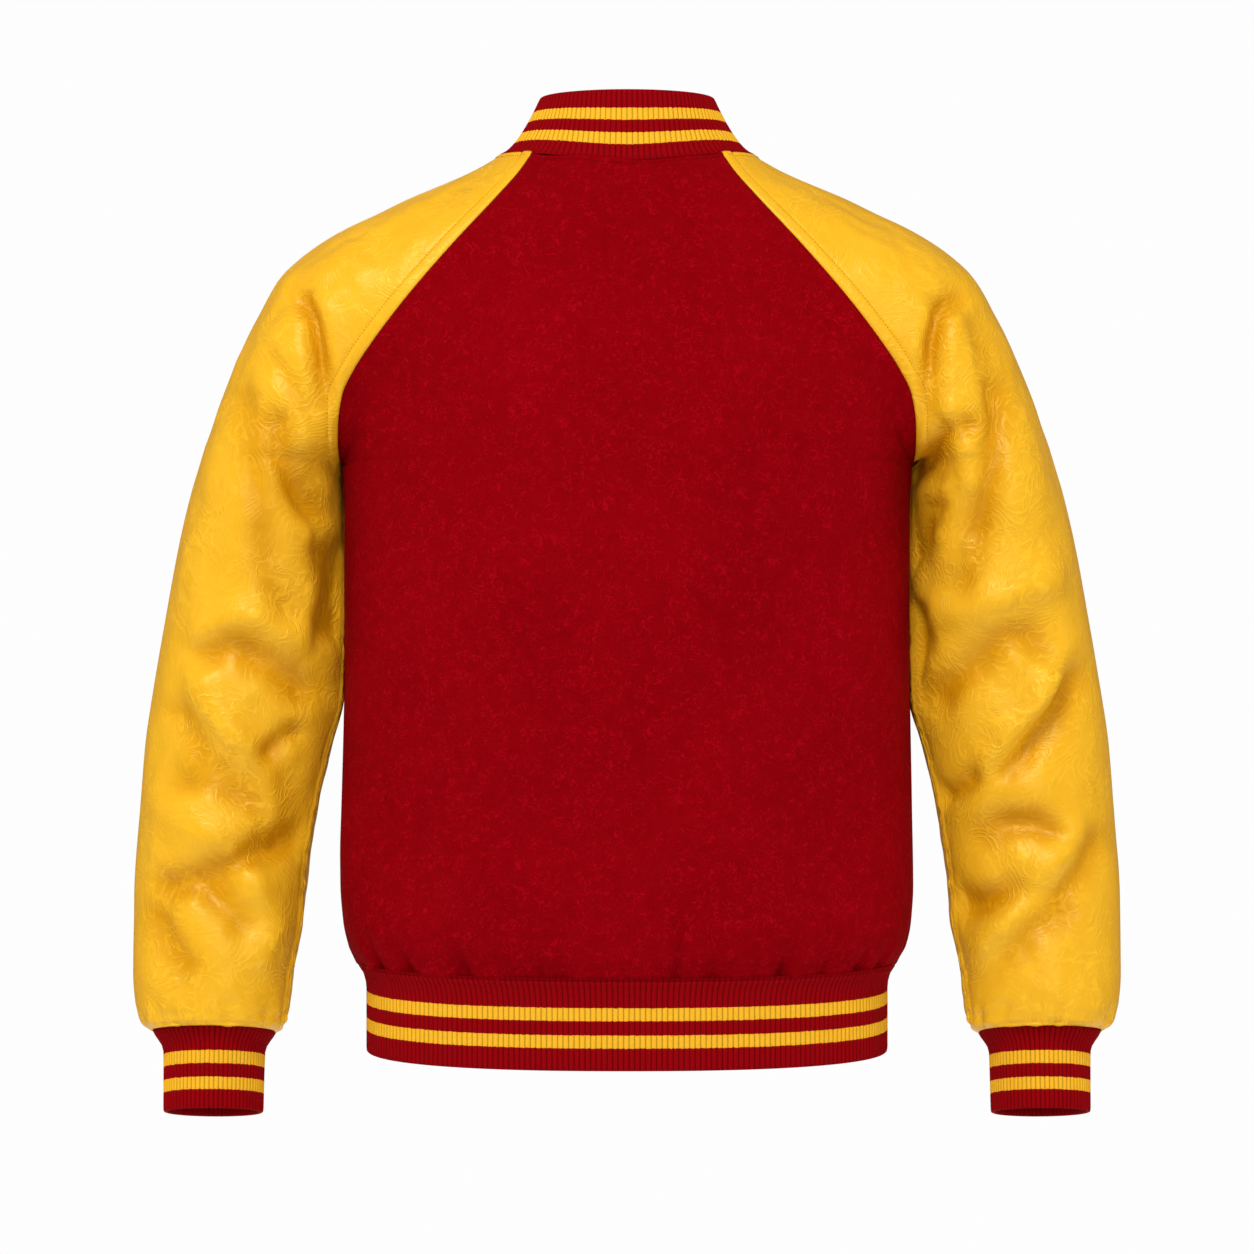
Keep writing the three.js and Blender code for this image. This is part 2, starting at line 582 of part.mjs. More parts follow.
// Half a body panel of the left side, from its raglan and side seams to the line at x = edgeX.
// "lift" says how far the panel stands off the form at a given x. Folds fade out over SEAM_CALM
// of its width, and the rows turn from the neck's line to level ones as t passes LEVELLING.
const HEART_Z = -120;
const SEAM_CALM = 0.15;
const LEVELLING = [0.1, 0.6];
function bodyHalf(side, edgeX, columns, lift, mirror) {
  const away = new THREE.Vector3(0, side === 'back' ? 1 : -1, 0);
  const inwards = new THREE.Vector3(-1, 0, 0);
  const seamAtNeck = raglan[side](0);
  const edgeAtNeck = neckPoint(Math.abs(edgeX), side);
  edgeAtNeck.x = edgeX;
  const gathers = HEM_GATHERS.map((gather) => ({ ...gather, turn: mirror ? -gather.turn : gather.turn }));
  return bodyLevels.map(({ t, z, gathered }) => {
    const upper = t < 1;
    const field = upper ? shoulderField : bodyField;
    const seam = upper ? raglan[side](t) : bodySection(90, z, field);
    const edgeZ = upper ? lerp(edgeAtNeck.z, ARMPIT_Z, t) : z;
    const edge = t === 0 ? edgeAtNeck : bodyAtX(edgeX, side, edgeZ, field);
    const fromTurn = turnOf(seam);
    const toTurn = turnOf(edge);
    const degree = bodyAt.side(z) * degToRad(1);
    const even = evenColumns(columns);
    const at = gathered ? columnsWith(even, gathers, fromTurn, toTurn, GATHER_HALF_WIDTH / degree) : even;
    const upperPoint = (u) => {
      if (u === 0) return seam.clone();
      const high = neckPointAt(lerp(turnOf(seamAtNeck), turnOf(edgeAtNeck), u));
      high.addScaledVector(seam.clone().sub(seamAtNeck), 1 - u);
      high.addScaledVector(edge.clone().sub(edgeAtNeck), u);
      const level = bodySection(lerp(fromTurn, toTurn, u), lerp(seam.z, edge.z, u), field);
      high.lerp(level, smoothstep(t, ...LEVELLING));
      return leave(new THREE.Vector3(0, 0, Math.min(high.z, HEART_Z)), high, field);
    };
    const points = at.map((u) => {
      const turn = lerp(fromTurn, toTurn, u);
      const point = upper ? upperPoint(u) : bodySection(turn, z, field);
      const normal = facing(point, field);
      const out = upper ? normal : new THREE.Vector3(normal.x, normal.y, 0).normalize();
      const fold = foldDepth(Math.abs(point.x), point.z, BODY_FOLDS) * smoothstep(u, 0, SEAM_CALM);
      const gather = upper ? 0 : gatherDepth(turn, z - HEM_SEAM_Z, gathers, degree);
      point.addScaledVector(out, lift(point.x) - fold - gather);
      return { point, normal };
    });
    const row = { at, points, start: upper ? inwards : away };
    return mirror ? mirroredRow(row) : row;
  });
}

function backRows() {
  const left = bodyHalf('back', 0, BACK_HALF_COLUMNS, () => 0, false);
  const right = bodyHalf('back', 0, BACK_HALF_COLUMNS, () => 0, true);
  return left.map((row, i) => {
    const other = right[i];
    const at = other.at.slice(0, -1).reverse().map((u) => 1 - u / 2);
    return {
      at: [...row.at.map((u) => u / 2), ...at],
      points: [...row.points, ...other.points.slice(0, -1).reverse()],
      start: row.start,
      end: other.start,
    };
  });
}

function lapLift(x) {
  return LAP_LIFT * (1 - smoothstep(x, LAP_FULL_X, LAP_NONE_X));
}

// A point of a sleeve at one of its rows, w of the way from the over-arm seam to the raglan
// or underarm seam
const NECK_FADE = 0.35;
const NECK_FAN = Math.atan2(neckPointAt(90).z - ARMPIT_Z, NECK.side - FAN_X);
function fanPoint(side, t, w) {
  const sign = side === 'back' ? 1 : -1;
  const angle = NECK_FAN * (1 - t);
  const out = new THREE.Vector3(Math.cos(angle), 0, Math.sin(angle));
  const up = new THREE.Vector3(-Math.sin(angle), 0, Math.cos(angle));
  const along = angle * FAN_RADIUS;
  const middle = (sleeveAt.outer(along) + sleeveAt.inner(along)) / 2;
  const heart = new THREE.Vector3(FAN_X, 0, ARMPIT_Z).addScaledVector(out, middle);
  const seam = raglan[side](t);
  const toSeam = seam.clone().sub(heart);
  const flat = Math.hypot(toSeam.dot(out), toSeam.y);
  const seamTurn = Math.atan2(sign * toSeam.y, toSeam.dot(out));
  const aim = heart.clone();
  aim.addScaledVector(out, Math.cos(w * seamTurn));
  aim.y += sign * Math.sin(w * seamTurn);
  aim.addScaledVector(up, (toSeam.dot(up) / flat) * w * w);
  return { heart, seam, point: leave(heart, aim, shoulderField) };
}

function upperSleevePoint(side, t, w) {
  const { heart, seam, point } = fanPoint(side, t, w);
  if (w === 1) return seam;
  const nearNeck = (1 - Math.min(t / NECK_FADE, 1)) ** 2;
  if (nearNeck === 0) return point;
  const neckSeamTurn = turnOf(raglan[side](0));
  const neck = neckPointAt(lerp(90, neckSeamTurn, w));
  if (t === 0) return neck;
  const toNeck = neck.sub(fanPoint(side, 0, w).point);
  return leave(heart, point.addScaledVector(toNeck, nearNeck), shoulderField);
}

function wristTip(along) {
  return WRIST_TIP * smoothstep(WRIST_TIP_FROM - along, 0, WRIST_TIP_FROM - WRIST_SEAM.along);
}

function lowerSleevePoint(along, turn) {
  const angle = degToRad(turn);
  const middle = (sleeveAt.outer(along) + sleeveAt.inner(along)) / 2;
  const heart = new THREE.Vector3(FAN_X + middle, sleeveAt.y(along), ARMPIT_Z + along);
  const aim = heart.clone();
  aim.x += Math.cos(angle);
  aim.y += Math.sin(angle);
  aim.z += wristTip(along) * Math.sin(angle);
  return leave(heart, aim, sleeveField);
}

const sleeveLevels = [
  ...evenColumns(UPPER_ROWS).map((t) => ({ t, along: 0 })),
  ...evenColumns(SLEEVE_ROWS).slice(1).map((s) => ({ t: 1, along: lerp(0, SLEEVE_GATHER_TOP, s) })),
  ...evenColumns(GATHER_ROWS).slice(1).map((s) => ({
    t: 1,
    along: lerp(SLEEVE_GATHER_TOP, WRIST_SEAM.along, s),
    gathered: true,
  })),
];

const FOLD_FADE_Y = 24;
function sleeveRows(hand, side) {
  const sign = side === 'back' ? 1 : -1;
  const away = new THREE.Vector3(0, sign, 0);
  const outwards = new THREE.Vector3(1, 0, 0);
  const gathers = CUFF_GATHERS[hand];
  const folds = SLEEVE_FOLDS[hand][side];
  return sleeveLevels.map(({ t, along, gathered }) => {
    const upper = t < 1;
    const field = upper ? shoulderField : sleeveField;
    const seamTurn = side === 'back' ? underarmTurnAt(along) : underarmTurnAt(along) - 360;
    const degree = ((sleeveAt.outer(along) - sleeveAt.inner(along)) / 2) * degToRad(1);
    const even = evenColumns(SLEEVE_COLUMNS);
    const at = gathered ? columnsWith(even, gathers, 0, seamTurn, GATHER_HALF_WIDTH / degree) : even;
    const points = at.map((w) => {
      const turn = w * seamTurn;
      const point = upper ? upperSleevePoint(side, t, w) : lowerSleevePoint(along, turn);
      const normal = facing(point, field);
      const out = upper ? normal : new THREE.Vector3(normal.x, normal.y, 0).normalize();
      const seen = smoothstep(sign * (point.y - sleeveAt.y(along)), 0, FOLD_FADE_Y);
      const calm = upper ? smoothstep(1 - w, 0, SEAM_CALM) : 1;
      const gather = upper ? 0 : gatherDepth(turn, along - WRIST_SEAM.along, gathers, degree);
      point.addScaledVector(out, -foldDepth(point.x, point.z, folds) * seen * calm - gather);
      return { point, normal };
    });
    const row = { at, points, start: away, end: upper ? outwards : away };
    return hand === 'right' ? mirroredRow(row) : row;
  });
}

// Rib knit: a plain inner wall, and an outer one whose points stand out at every other place.
// surface(u, v) gives the knit's middle, u from 0 to 1 along the band and v from 0 to 1 down it.
// Its first and last rows are level across the wall, "upright" being the way up through it.
function ribbedGeometry(surface, { rows, ribs, plainColumns, ring, plainTop, upright }) {
  const even = evenAlong((u) => surface(u, 0.5), 2 * ribs, ring);
  const plain = evenAlong((u) => surface(u, 0.5), plainColumns, ring);
  const offset = (u, v, far) => {
    const out = surfaceFacing(surface, u, v, ring);
    if (v === 0 || v === 1) out.projectOnPlane(upright).normalize();
    return surface(u, v).addScaledVector(out, far);
  };
  const outer = rows.map((v) => {
    if (v === 0 && plainTop) return { at: plain, points: plain.map((u) => offset(u, v, RIB_HEIGHT / 2)) };
    return { at: even, points: even.map((u, i) => offset(u, v, i % 2 === 0 ? RIB_HEIGHT : 0)) };
  });
  const inner = rows.map((v) => ({ at: plain, points: plain.map((u) => offset(u, v, -KNIT_WALL)) }));
  return wallGeometry(outer, inner, ring);
}

// Places along a curve, from 0 to 1, that divide its length evenly. A ring leaves out the last.
const LENGTH_SAMPLES = 600;
function evenAlong(curve, count, ring) {
  const table = [{ length: 0, u: 0 }];
  let before = curve(0);
  for (let i = 1; i <= LENGTH_SAMPLES; i += 1) {
    const after = curve(i / LENGTH_SAMPLES);
    table.push({ length: table.at(-1).length + after.distanceTo(before), u: i / LENGTH_SAMPLES });
    before = after;
  }
  const whole = table.at(-1).length;
  let k = 0;
  const places = evenColumns(count).map((share) => {
    while (k < LENGTH_SAMPLES - 1 && table[k + 1].length < share * whole) k += 1;
    const [a, b] = [table[k], table[k + 1]];
    return lerp(a.u, b.u, Math.min((share * whole - a.length) / (b.length - a.length), 1));
  });
  return ring ? places.slice(0, -1) : places;
}

const FACING_STEP = 1e-3;
function surfaceFacing(surface, u, v, ring) {
  const low = ring ? u - FACING_STEP : Math.max(u - FACING_STEP, 0);
  const high = ring ? u + FACING_STEP : Math.min(u + FACING_STEP, 1);
  const across = surface(high, v).sub(surface(low, v));
  const down = surface(u, Math.min(v + FACING_STEP, 1)).sub(surface(u, Math.max(v - FACING_STEP, 0)));
  return across.cross(down).normalize();
}

// A point of an oval that stands in the direction "turn" from its middle
function ovalPoint(turn, side, depth, squareness) {
  const angle = degToRad(turn);
  const [across, along] = [Math.sin(angle), Math.cos(angle)];
  const ratio = Math.abs(across / side) ** squareness + Math.abs(along / depth) ** squareness;
  const radius = ratio ** (-1 / squareness);
  return [radius * across, radius * along];
}

// The hem band, from the wearer's right end round the back to the left end, which laps over it
const HEM_BAND = {
  height: 62.8,
  rows: [0, 0.26, 1],
  ribs: 267,
  plainColumns: 72,
  ring: false,
  plainTop: true,
  upright: new THREE.Vector3(0, -HEM_TIP, 1).normalize(),
};
const HEM_SECTIONS = [
  { drop: 0, side: 194.7, back: 123, front: 124.5 },
  { drop: 5, side: 191.4, back: 121, front: 122.5 },
  { drop: 16, side: 189, back: 119.5, front: 121 },
  { drop: 63, side: 189, back: 119.5, front: 121 },
];
const hemAt = {
  side: column(HEM_SECTIONS, 'drop', 'side'),
  back: column(HEM_SECTIONS, 'drop', 'back'),
  front: column(HEM_SECTIONS, 'drop', 'front'),
};
const HEM_LAP_LIFT = 3.8;
const turnInFront = (x) => 180 - radToDeg(Math.atan(x / hemAt.front(0)));
const HEM_END_TURN = turnInFront(-FRONT_EDGE);
const HEM_LAP_FULL = turnInFront(LAP_FULL_X);
const HEM_LAP_NONE = turnInFront(LAP_NONE_X);
function hemSurface(u, v) {
  const turn = lerp(-HEM_END_TURN, HEM_END_TURN, u);
  const drop = v * HEM_BAND.height;
  const lift = HEM_LAP_LIFT * smoothstep(turn, HEM_LAP_NONE, HEM_LAP_FULL);
  const depth = Math.cos(degToRad(turn)) > 0 ? hemAt.back(drop) : hemAt.front(drop);
  const [x, y] = ovalPoint(turn, hemAt.side(drop) + lift, depth + lift, BODY_SQUARENESS);
  return new THREE.Vector3(x, y, HEM_SEAM_Z - SEAM_GAP - drop + HEM_TIP * y);
}

// A cuff: an oval tube about an axis that tips back as it goes down
const CUFF_DOWN = new THREE.Vector3(0, WRIST_TIP, -1).normalize();
const CUFF_BACK = new THREE.Vector3(0, 1, WRIST_TIP).normalize();
const CUFF = {
  length: 59.5,
  rows: [0, 0.18, 1],
  ribs: 70,
  plainColumns: 22,
  ring: true,
  plainTop: true,
  upright: CUFF_DOWN,
};
const CUFF_SECTIONS = [
  { drop: 0, across: 44.2, deep: 45.5 },
  { drop: 4.6, across: 41.6, deep: 43.4 },
  { drop: 10.5, across: 37.4, deep: 40.2 },
  { drop: 16, across: 35.9, deep: 39 },
  { drop: 59.5, across: 35.2, deep: 38.2 },
];
const cuffAt = {
  across: column(CUFF_SECTIONS, 'drop', 'across'),
  deep: column(CUFF_SECTIONS, 'drop', 'deep'),
};
function cuffSurface(hand) {
  const sign = hand === 'left' ? 1 : -1;
  return (u, v) => {
    const angle = 2 * Math.PI * u;
    const drop = v * CUFF.length;
    const top = ARMPIT_Z + WRIST_SEAM.along - SEAM_GAP;
    const point = new THREE.Vector3(sign * WRIST_SEAM.x, WRIST_SEAM.y, top);
    point.addScaledVector(CUFF_DOWN, drop);
    point.addScaledVector(CUFF_BACK, cuffAt.deep(drop) * Math.cos(angle));
    point.x += cuffAt.across(drop) * Math.sin(angle);
    return point;
  };
}

// The collar stands on the neck seam and leans in to its top edge
const COLLAR = {
  endGap: 1,
  rise: 0.6,
  frontRise: 1.35,
  flare: 0.62,
  rows: [0, 0.5, 0.85, 1],
  ribs: 122,
  plainColumns: 40,
  ring: false,
  plainTop: false,
  upright: new THREE.Vector3(0, 0, 1),
};
const COLLAR_TOP = { side: 62.5, back: 60.5, front: 52, sideZ: 43, frontZ: -28 };
const COLLAR_END_TURN = 180 - radToDeg(Math.atan(COLLAR.endGap / NECK.front));
function collarSurface(u, v) {
  const turn = lerp(-COLLAR_END_TURN, COLLAR_END_TURN, u);
  const base = neckPointAt(Math.abs(turn));
  base.z += lerp(COLLAR.rise, COLLAR.frontRise, smoothstep(-Math.cos(degToRad(turn)), 0, 0.7));
  const inFront = Math.cos(degToRad(turn)) < 0;
  const depth = inFront ? COLLAR_TOP.front : COLLAR_TOP.back;
  const [topX, topY] = ovalPoint(Math.abs(turn), COLLAR_TOP.side, depth, 2);
  const forward = inFront ? Math.cos(degToRad(turn)) ** 2 : 0;
  const topZ = lerp(COLLAR_TOP.sideZ, COLLAR_TOP.frontZ, forward);
  const up = 1 - v;
  const inward = up ** COLLAR.flare;
  const x = lerp(base.x, topX, inward);
  return new THREE.Vector3(turn < 0 ? -x : x, lerp(base.y, topY, inward), lerp(base.z, topZ, up));
}

// A snap cap, 15 mm across, standing 0.3 mm off the cloth that it closes
const SNAP_SIDES = 12;
const SNAP_PROFILE = [[0, 0], [7.2, 0], [7.5, 0.9], [6.6, 2.1], [3.8, 3], [0, 3.3]];
const SNAP_STAND = 0.3;
const SNAP_HEIGHTS = [-97, -180, -263, -346, -429, -512];
const HEM_SNAP_DROP = 31;
function snapPlaces() {
  const onWool = SNAP_HEIGHTS.map((z) => {
    const field = z > ARMPIT_Z ? shoulderField : bodyField;
    const point = bodyAtX(0, 'front', z, field);
    return { point, normal: facing(point, field), lift: LAP_LIFT };
  });
  const v = HEM_SNAP_DROP / HEM_BAND.height;
  const u = (180 + HEM_END_TURN) / (2 * HEM_END_TURN);
  const onBand = { point: hemSurface(u, v), normal: new THREE.Vector3(0, -1, 0), lift: RIB_HEIGHT };
  return [...onWool, onBand];
}

const jacket = new THREE.Group();

function addPiece(name, geometry, finish) {
  const mesh = new THREE.Mesh(faceOutwards(geometry), new THREE.MeshStandardMaterial(finish));
  mesh.name = name;
  jacket.add(mesh);
  return mesh;
}

addPiece('back', panelGeometry(backRows(), WOOL_WALL), WOOL);
const leftFront = bodyHalf('front', -FRONT_EDGE, FRONT_COLUMNS, lapLift, false);
addPiece('front_left', panelGeometry(leftFront, WOOL_WALL), WOOL);
const rightFront = bodyHalf('front', -FRONT_EDGE, FRONT_COLUMNS, () => 0, true);
addPiece('front_right', panelGeometry(rightFront, WOOL_WALL), WOOL);

for (const hand of ['left', 'right']) {
  for (const side of ['back', 'front']) {
    addPiece(`sleeve_${hand}_${side}`, panelGeometry(sleeveRows(hand, side), LEATHER_WALL), LEATHER);
  }
  addPiece(`cuff_${hand}`, ribbedGeometry(cuffSurface(hand), CUFF), KNIT);
}

addPiece('hem_band', ribbedGeometry(hemSurface, HEM_BAND), KNIT);
addPiece('collar', ribbedGeometry(collarSurface, COLLAR), KNIT);

snapPlaces().forEach(({ point, normal, lift }, i) => {
  const profile = SNAP_PROFILE.map(([radius, height]) => new THREE.Vector2(radius, height));
  const snap = addPiece(`snap_${i + 1}`, new THREE.LatheGeometry(profile, SNAP_SIDES), SNAP_METAL);
  snap.position.copy(point).addScaledVector(normal, lift + SNAP_STAND);
  snap.quaternion.setFromUnitVectors(new THREE.Vector3(0, 1, 0), normal);
});

export default jacket;
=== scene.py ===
# %% [markdown]
# A varsity jacket, filled out as if it were worn and seen from behind: a melton wool body, leather
# raglan sleeves, and a collar, hem band and cuffs of rib knit. The solids from the CAD step stay
# underneath for collision. Here each piece of cloth is made again, finer, on the same form, so
# that seams, puckers and ribs are real geometry, and the materials add what is smaller, together
# with painted shade in the leather's folds and between the knit's ribs.

import json
import math

import bmesh
import bpy
import numpy as np
from mathutils import Matrix, Vector

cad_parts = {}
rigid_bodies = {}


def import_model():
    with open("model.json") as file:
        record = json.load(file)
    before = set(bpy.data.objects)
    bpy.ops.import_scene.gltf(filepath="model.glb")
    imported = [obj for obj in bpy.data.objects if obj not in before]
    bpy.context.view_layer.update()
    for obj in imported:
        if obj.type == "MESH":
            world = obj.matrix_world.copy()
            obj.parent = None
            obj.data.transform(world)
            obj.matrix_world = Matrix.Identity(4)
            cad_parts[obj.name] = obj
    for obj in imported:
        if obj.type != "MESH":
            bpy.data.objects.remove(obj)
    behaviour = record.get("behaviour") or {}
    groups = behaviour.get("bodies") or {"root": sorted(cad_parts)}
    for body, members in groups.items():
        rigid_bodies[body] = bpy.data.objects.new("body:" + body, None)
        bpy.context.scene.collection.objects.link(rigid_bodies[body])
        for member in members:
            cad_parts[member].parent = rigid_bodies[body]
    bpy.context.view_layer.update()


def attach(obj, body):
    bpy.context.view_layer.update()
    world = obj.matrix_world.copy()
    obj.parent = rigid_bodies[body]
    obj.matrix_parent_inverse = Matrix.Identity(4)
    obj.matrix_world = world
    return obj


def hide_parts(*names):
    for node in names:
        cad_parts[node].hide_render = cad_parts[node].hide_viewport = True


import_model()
MM = 0.001


# %% From a bmesh to a piece in the scene
def to_piece(bm, name):
    """The bmesh as an object of its own, with its place in its mesh."""
    mesh = bpy.data.meshes.new(name)
    bm.to_mesh(mesh)
    bm.free()
    made = bpy.data.objects.new(name, mesh)
    bpy.context.scene.collection.objects.link(made)
    return made


def shade_smooth(mesh):
    mesh.polygons.foreach_set("use_smooth", [True] * len(mesh.polygons))


print("one unit of the tables is", MM, "m")


# %% [markdown]
# The form is a set of rounded sections: level ones for the body, and for each sleeve level ones
# below the armpit and a fan of them above it. Short tables hold the sections, in millimetres, as
# in the part's own source, and a smooth line runs through each column. A table is easier to read
# and to change than a mesh that was pushed into shape by hand.

# %% Sections of the body and of a sleeve
def table(names, rows):
    return [dict(zip(names.split(), row)) for row in rows]


BODY = table("z side back front", [
    (-640, 188, 118, 121), (-588, 196.5, 124, 126), (-575, 203, 128, 130), (-557, 207, 130.5, 133),
    (-530, 208.8, 131.5, 134.5), (-466, 207.7, 131, 135), (-350, 206, 132, 138),
    (-265, 206, 134, 137), (-228, 207.8, 133.5, 133), (-190, 213, 131, 124), (-150, 212, 126, 110),
    (-110, 192, 117, 92), (-75, 162, 106, 69), (-30, 116, 85, 48), (-7, 92, 68, 38),
    (20, 68, 50, 30), (60, 45, 34, 22),
])
BODY_SQUARENESS = 2.35
ARMPIT_X, ARMPIT_Z = 208, -228
FAN_X, FAN_RADIUS = 120, 140
SLEEVE = table("along outer inner back front y", [
    (-440, 214, 145, 34, 34, 26), (-408, 227.5, 131.5, 48, 48, 19), (-401, 233, 127.4, 54, 54, 17.5),
    (-385, 237.5, 125, 59, 59, 14), (-365, 239.2, 122.6, 62, 62, 10), (-330, 239.3, 116, 65, 65, 5),
    (-311, 239.2, 114.8, 66, 66, 3), (-238, 234.6, 104, 70, 70, -3), (-201, 231.8, 95.4, 72, 73, -5),
    (-165, 226.6, 86.6, 74, 75, -5), (-110, 217, 86, 78, 78, -4), (-55, 206.6, 86, 82, 82, -2),
    (-18, 197.6, 87, 85, 84, 0), (0, 192.2, 88.2, 86, 85, 0), (27, 184, 76, 87, 86, 0),
    (57, 181.8, 72, 87, 87, 0), (88, 185.2, 72, 87, 87, 0), (120, 193, 76, 86, 86, 0),
    (169, 195, 78, 83, 80, 0), (198, 202, 88, 77, 72, 0), (225, 209, 100, 68, 63, 0),
    (237, 213, 107, 62, 58, 0), (280, 219, 121, 48, 48, 0),
])
SLEEVE_SQUARENESS = 2.1
SHOULDER_BLEND = table("z reach", [(-228, 1), (-215, 6), (-190, 18), (-150, 34), (-90, 48), (60, 48)])
UNDERARM_TURN = table("along turn", [(-409, 165), (-220, 163), (-70, 176), (0, 180)])


def column(rows, key, name):
    """A smooth line through one column of a table, by another."""
    rows = sorted(rows, key=lambda row: row[key])
    at = np.array([row[key] for row in rows], float)
    value = np.array([row[name] for row in rows], float)
    rise = np.diff(value) / np.diff(at)
    product = rise[:-1] * rise[1:]
    total = np.where(product > 0, rise[:-1] + rise[1:], 1)
    slope = np.concatenate([rise[:1], np.where(product > 0, 2 * product / total, 0), rise[-1:]])

    def smooth(wanted):
        x = np.clip(wanted, at[0], at[-1])
        i = np.clip(np.searchsorted(at, x, side="right") - 1, 0, len(at) - 2)
        width = at[i + 1] - at[i]
        t = (x - at[i]) / width
        lift = t * (1 - t) * ((1 - t) * slope[i] - t * slope[i + 1]) * width
        return value[i] + (value[i + 1] - value[i]) * t * t * (3 - 2 * t) + lift

    return smooth


body_at = {name: column(BODY, "z", name) for name in ("side", "back", "front")}
sleeve_at = {name: column(SLEEVE, "along", name) for name in ("outer", "inner", "back", "front", "y")}
blend_at = column(SHOULDER_BLEND, "z", "reach")
underarm_turn_at = column(UNDERARM_TURN, "along", "turn")
print("body half width at the chest:", round(float(body_at["side"](-300)), 1), "mm")


# %% [markdown]
# Each field below is negative inside the form and positive outside it. Where a sleeve meets the
# body the two run into each other over a stated reach. A point of the surface is found by walking
# out from the middle until the field turns positive, for thousands of points at once.

# %% The form as a field, and its surface
def stack(*parts):
    return np.stack(np.broadcast_arrays(*parts), axis=-1).astype(float)


def unit(vectors):
    return vectors / np.maximum(np.linalg.norm(vectors, axis=-1, keepdims=True), 1e-12)


def lerp(a, b, t):
    return a + (b - a) * t


def smoothstep(x, low, high):
    t = np.clip((x - low) / (high - low), 0, 1)
    return t * t * (3 - 2 * t)


def section_distance(across, deep, half_width, half_depth, squareness):
    away = np.maximum(np.hypot(across, deep), 1e-6)
    ratio = np.abs(across / half_width) ** squareness + np.abs(deep / half_depth) ** squareness
    return away - away / np.maximum(ratio ** (1 / squareness), 1e-9)


def body_field(p):
    x, y, z = p[..., 0], p[..., 1], p[..., 2]
    depth = np.where(y > 0, body_at["back"](z), body_at["front"](z))
    return section_distance(x, y, body_at["side"](z), depth, BODY_SQUARENESS)


def sleeve_field(p):
    right, up = np.abs(p[..., 0]) - FAN_X, p[..., 2] - ARMPIT_Z
    along = np.where(up > 0, np.arctan2(up, right) * FAN_RADIUS, up)
    away = np.where(up > 0, np.hypot(up, right), right)
    outer, inner = sleeve_at["outer"](along), sleeve_at["inner"](along)
    deep = p[..., 1] - sleeve_at["y"](along)
    depth = np.where(deep > 0, sleeve_at["back"](along), sleeve_at["front"](along))
    return section_distance(away - (outer + inner) / 2, deep, (outer - inner) / 2, depth, SLEEVE_SQUARENESS)


def shoulder_field(p):
    body, sleeve = body_field(p), sleeve_field(p)
    reach = blend_at(p[..., 2])
    shared = np.maximum(reach - np.abs(body - sleeve), 0)
    return np.minimum(body, sleeve) - shared * shared / (4 * reach)


WALK_STEP = 4
WALK_LIMIT = 480
HALVINGS = 20


def leave(start, toward, field):
    """Where the lines from start toward the given points first leave the form."""
    start, toward = np.broadcast_arrays(start, toward)
    direction = unit(toward - start)
    near = np.zeros(start.shape[:-1])
    out = np.zeros(near.shape, bool)
    for far in np.arange(WALK_STEP, WALK_LIMIT, WALK_STEP):
        out |= field(start + direction * far) > 0
        near = np.where(out, near, far)
        if out.all():
            break
    far = near + WALK_STEP
    for _ in range(HALVINGS):
        middle = (near + far) / 2
        outside = field(start + direction * middle[..., None]) > 0
        near, far = np.where(outside, near, middle), np.where(outside, middle, far)
    return start + direction * near[..., None]


def facing(p, field, step=0.6):
    """The direction in which the surface faces."""
    parts = [field(p + step * axis) - field(p - step * axis) for axis in np.eye(3)]
    return unit(np.stack(parts, axis=-1))


top = leave(stack(200.0, 0, -160), stack(230.0, 0, 200), shoulder_field)
print("the shoulder's surface over x = 200:", top.round(1))


# %% [markdown]
# Seam lines come next, because every panel ends at one. The neck seam is an oval seen from above,
# laid on the form. The raglan seams run from it to the armpits along the lines that the photo
# shows from behind, and along likely ones in front. The hem and wrist seams are tipped planes.

# %% Seam lines
NECK = {"side": 93, "back": 68, "front": 72}
RAGLAN = {
    "back": [(68, -4), (77, -15), (92.5, -34), (125, -70.5), (156, -107), (183, -142), (195, -160),
             (203.5, -178), (207, -200), (ARMPIT_X, ARMPIT_Z)],
    "front": [(74, -20), (84, -36), (102, -62), (130, -96), (157, -130), (182, -163), (197, -187),
              (205, -208), (ARMPIT_X, ARMPIT_Z)],
}
HEM_SEAM_Z, HEM_TIP, HEM_TIP_FROM = -588, -0.046, -480
WRIST = {"x": 299.5, "y": 19, "along": -407.7}
WRIST_TIP, WRIST_TIP_FROM = 0.185, -250
FAR = 400
SEAM_CROWDING = 1.35


def neck_point_at(turn):
    """A point of the neck seam, in degrees from the middle of the back round towards +X."""
    angle = np.radians(turn)
    depth = np.where(np.cos(angle) > 0, NECK["back"], NECK["front"])
    radius = 1 / np.hypot(np.sin(angle) / NECK["side"], np.cos(angle) / depth)
    x, y = radius * np.sin(angle), radius * np.cos(angle)
    return leave(stack(x, y, -130), stack(x, y, 200), shoulder_field)


def turn_of(p):
    return np.degrees(np.arctan2(p[..., 0], p[..., 1])) % 360


def neck_point(x, side):
    depth = NECK["back"] if side == "back" else -NECK["front"]
    y = depth * math.sqrt(max(1 - (x / NECK["side"]) ** 2, 0))
    return leave(stack(x, y, -130), stack(x, y, 200), shoulder_field)


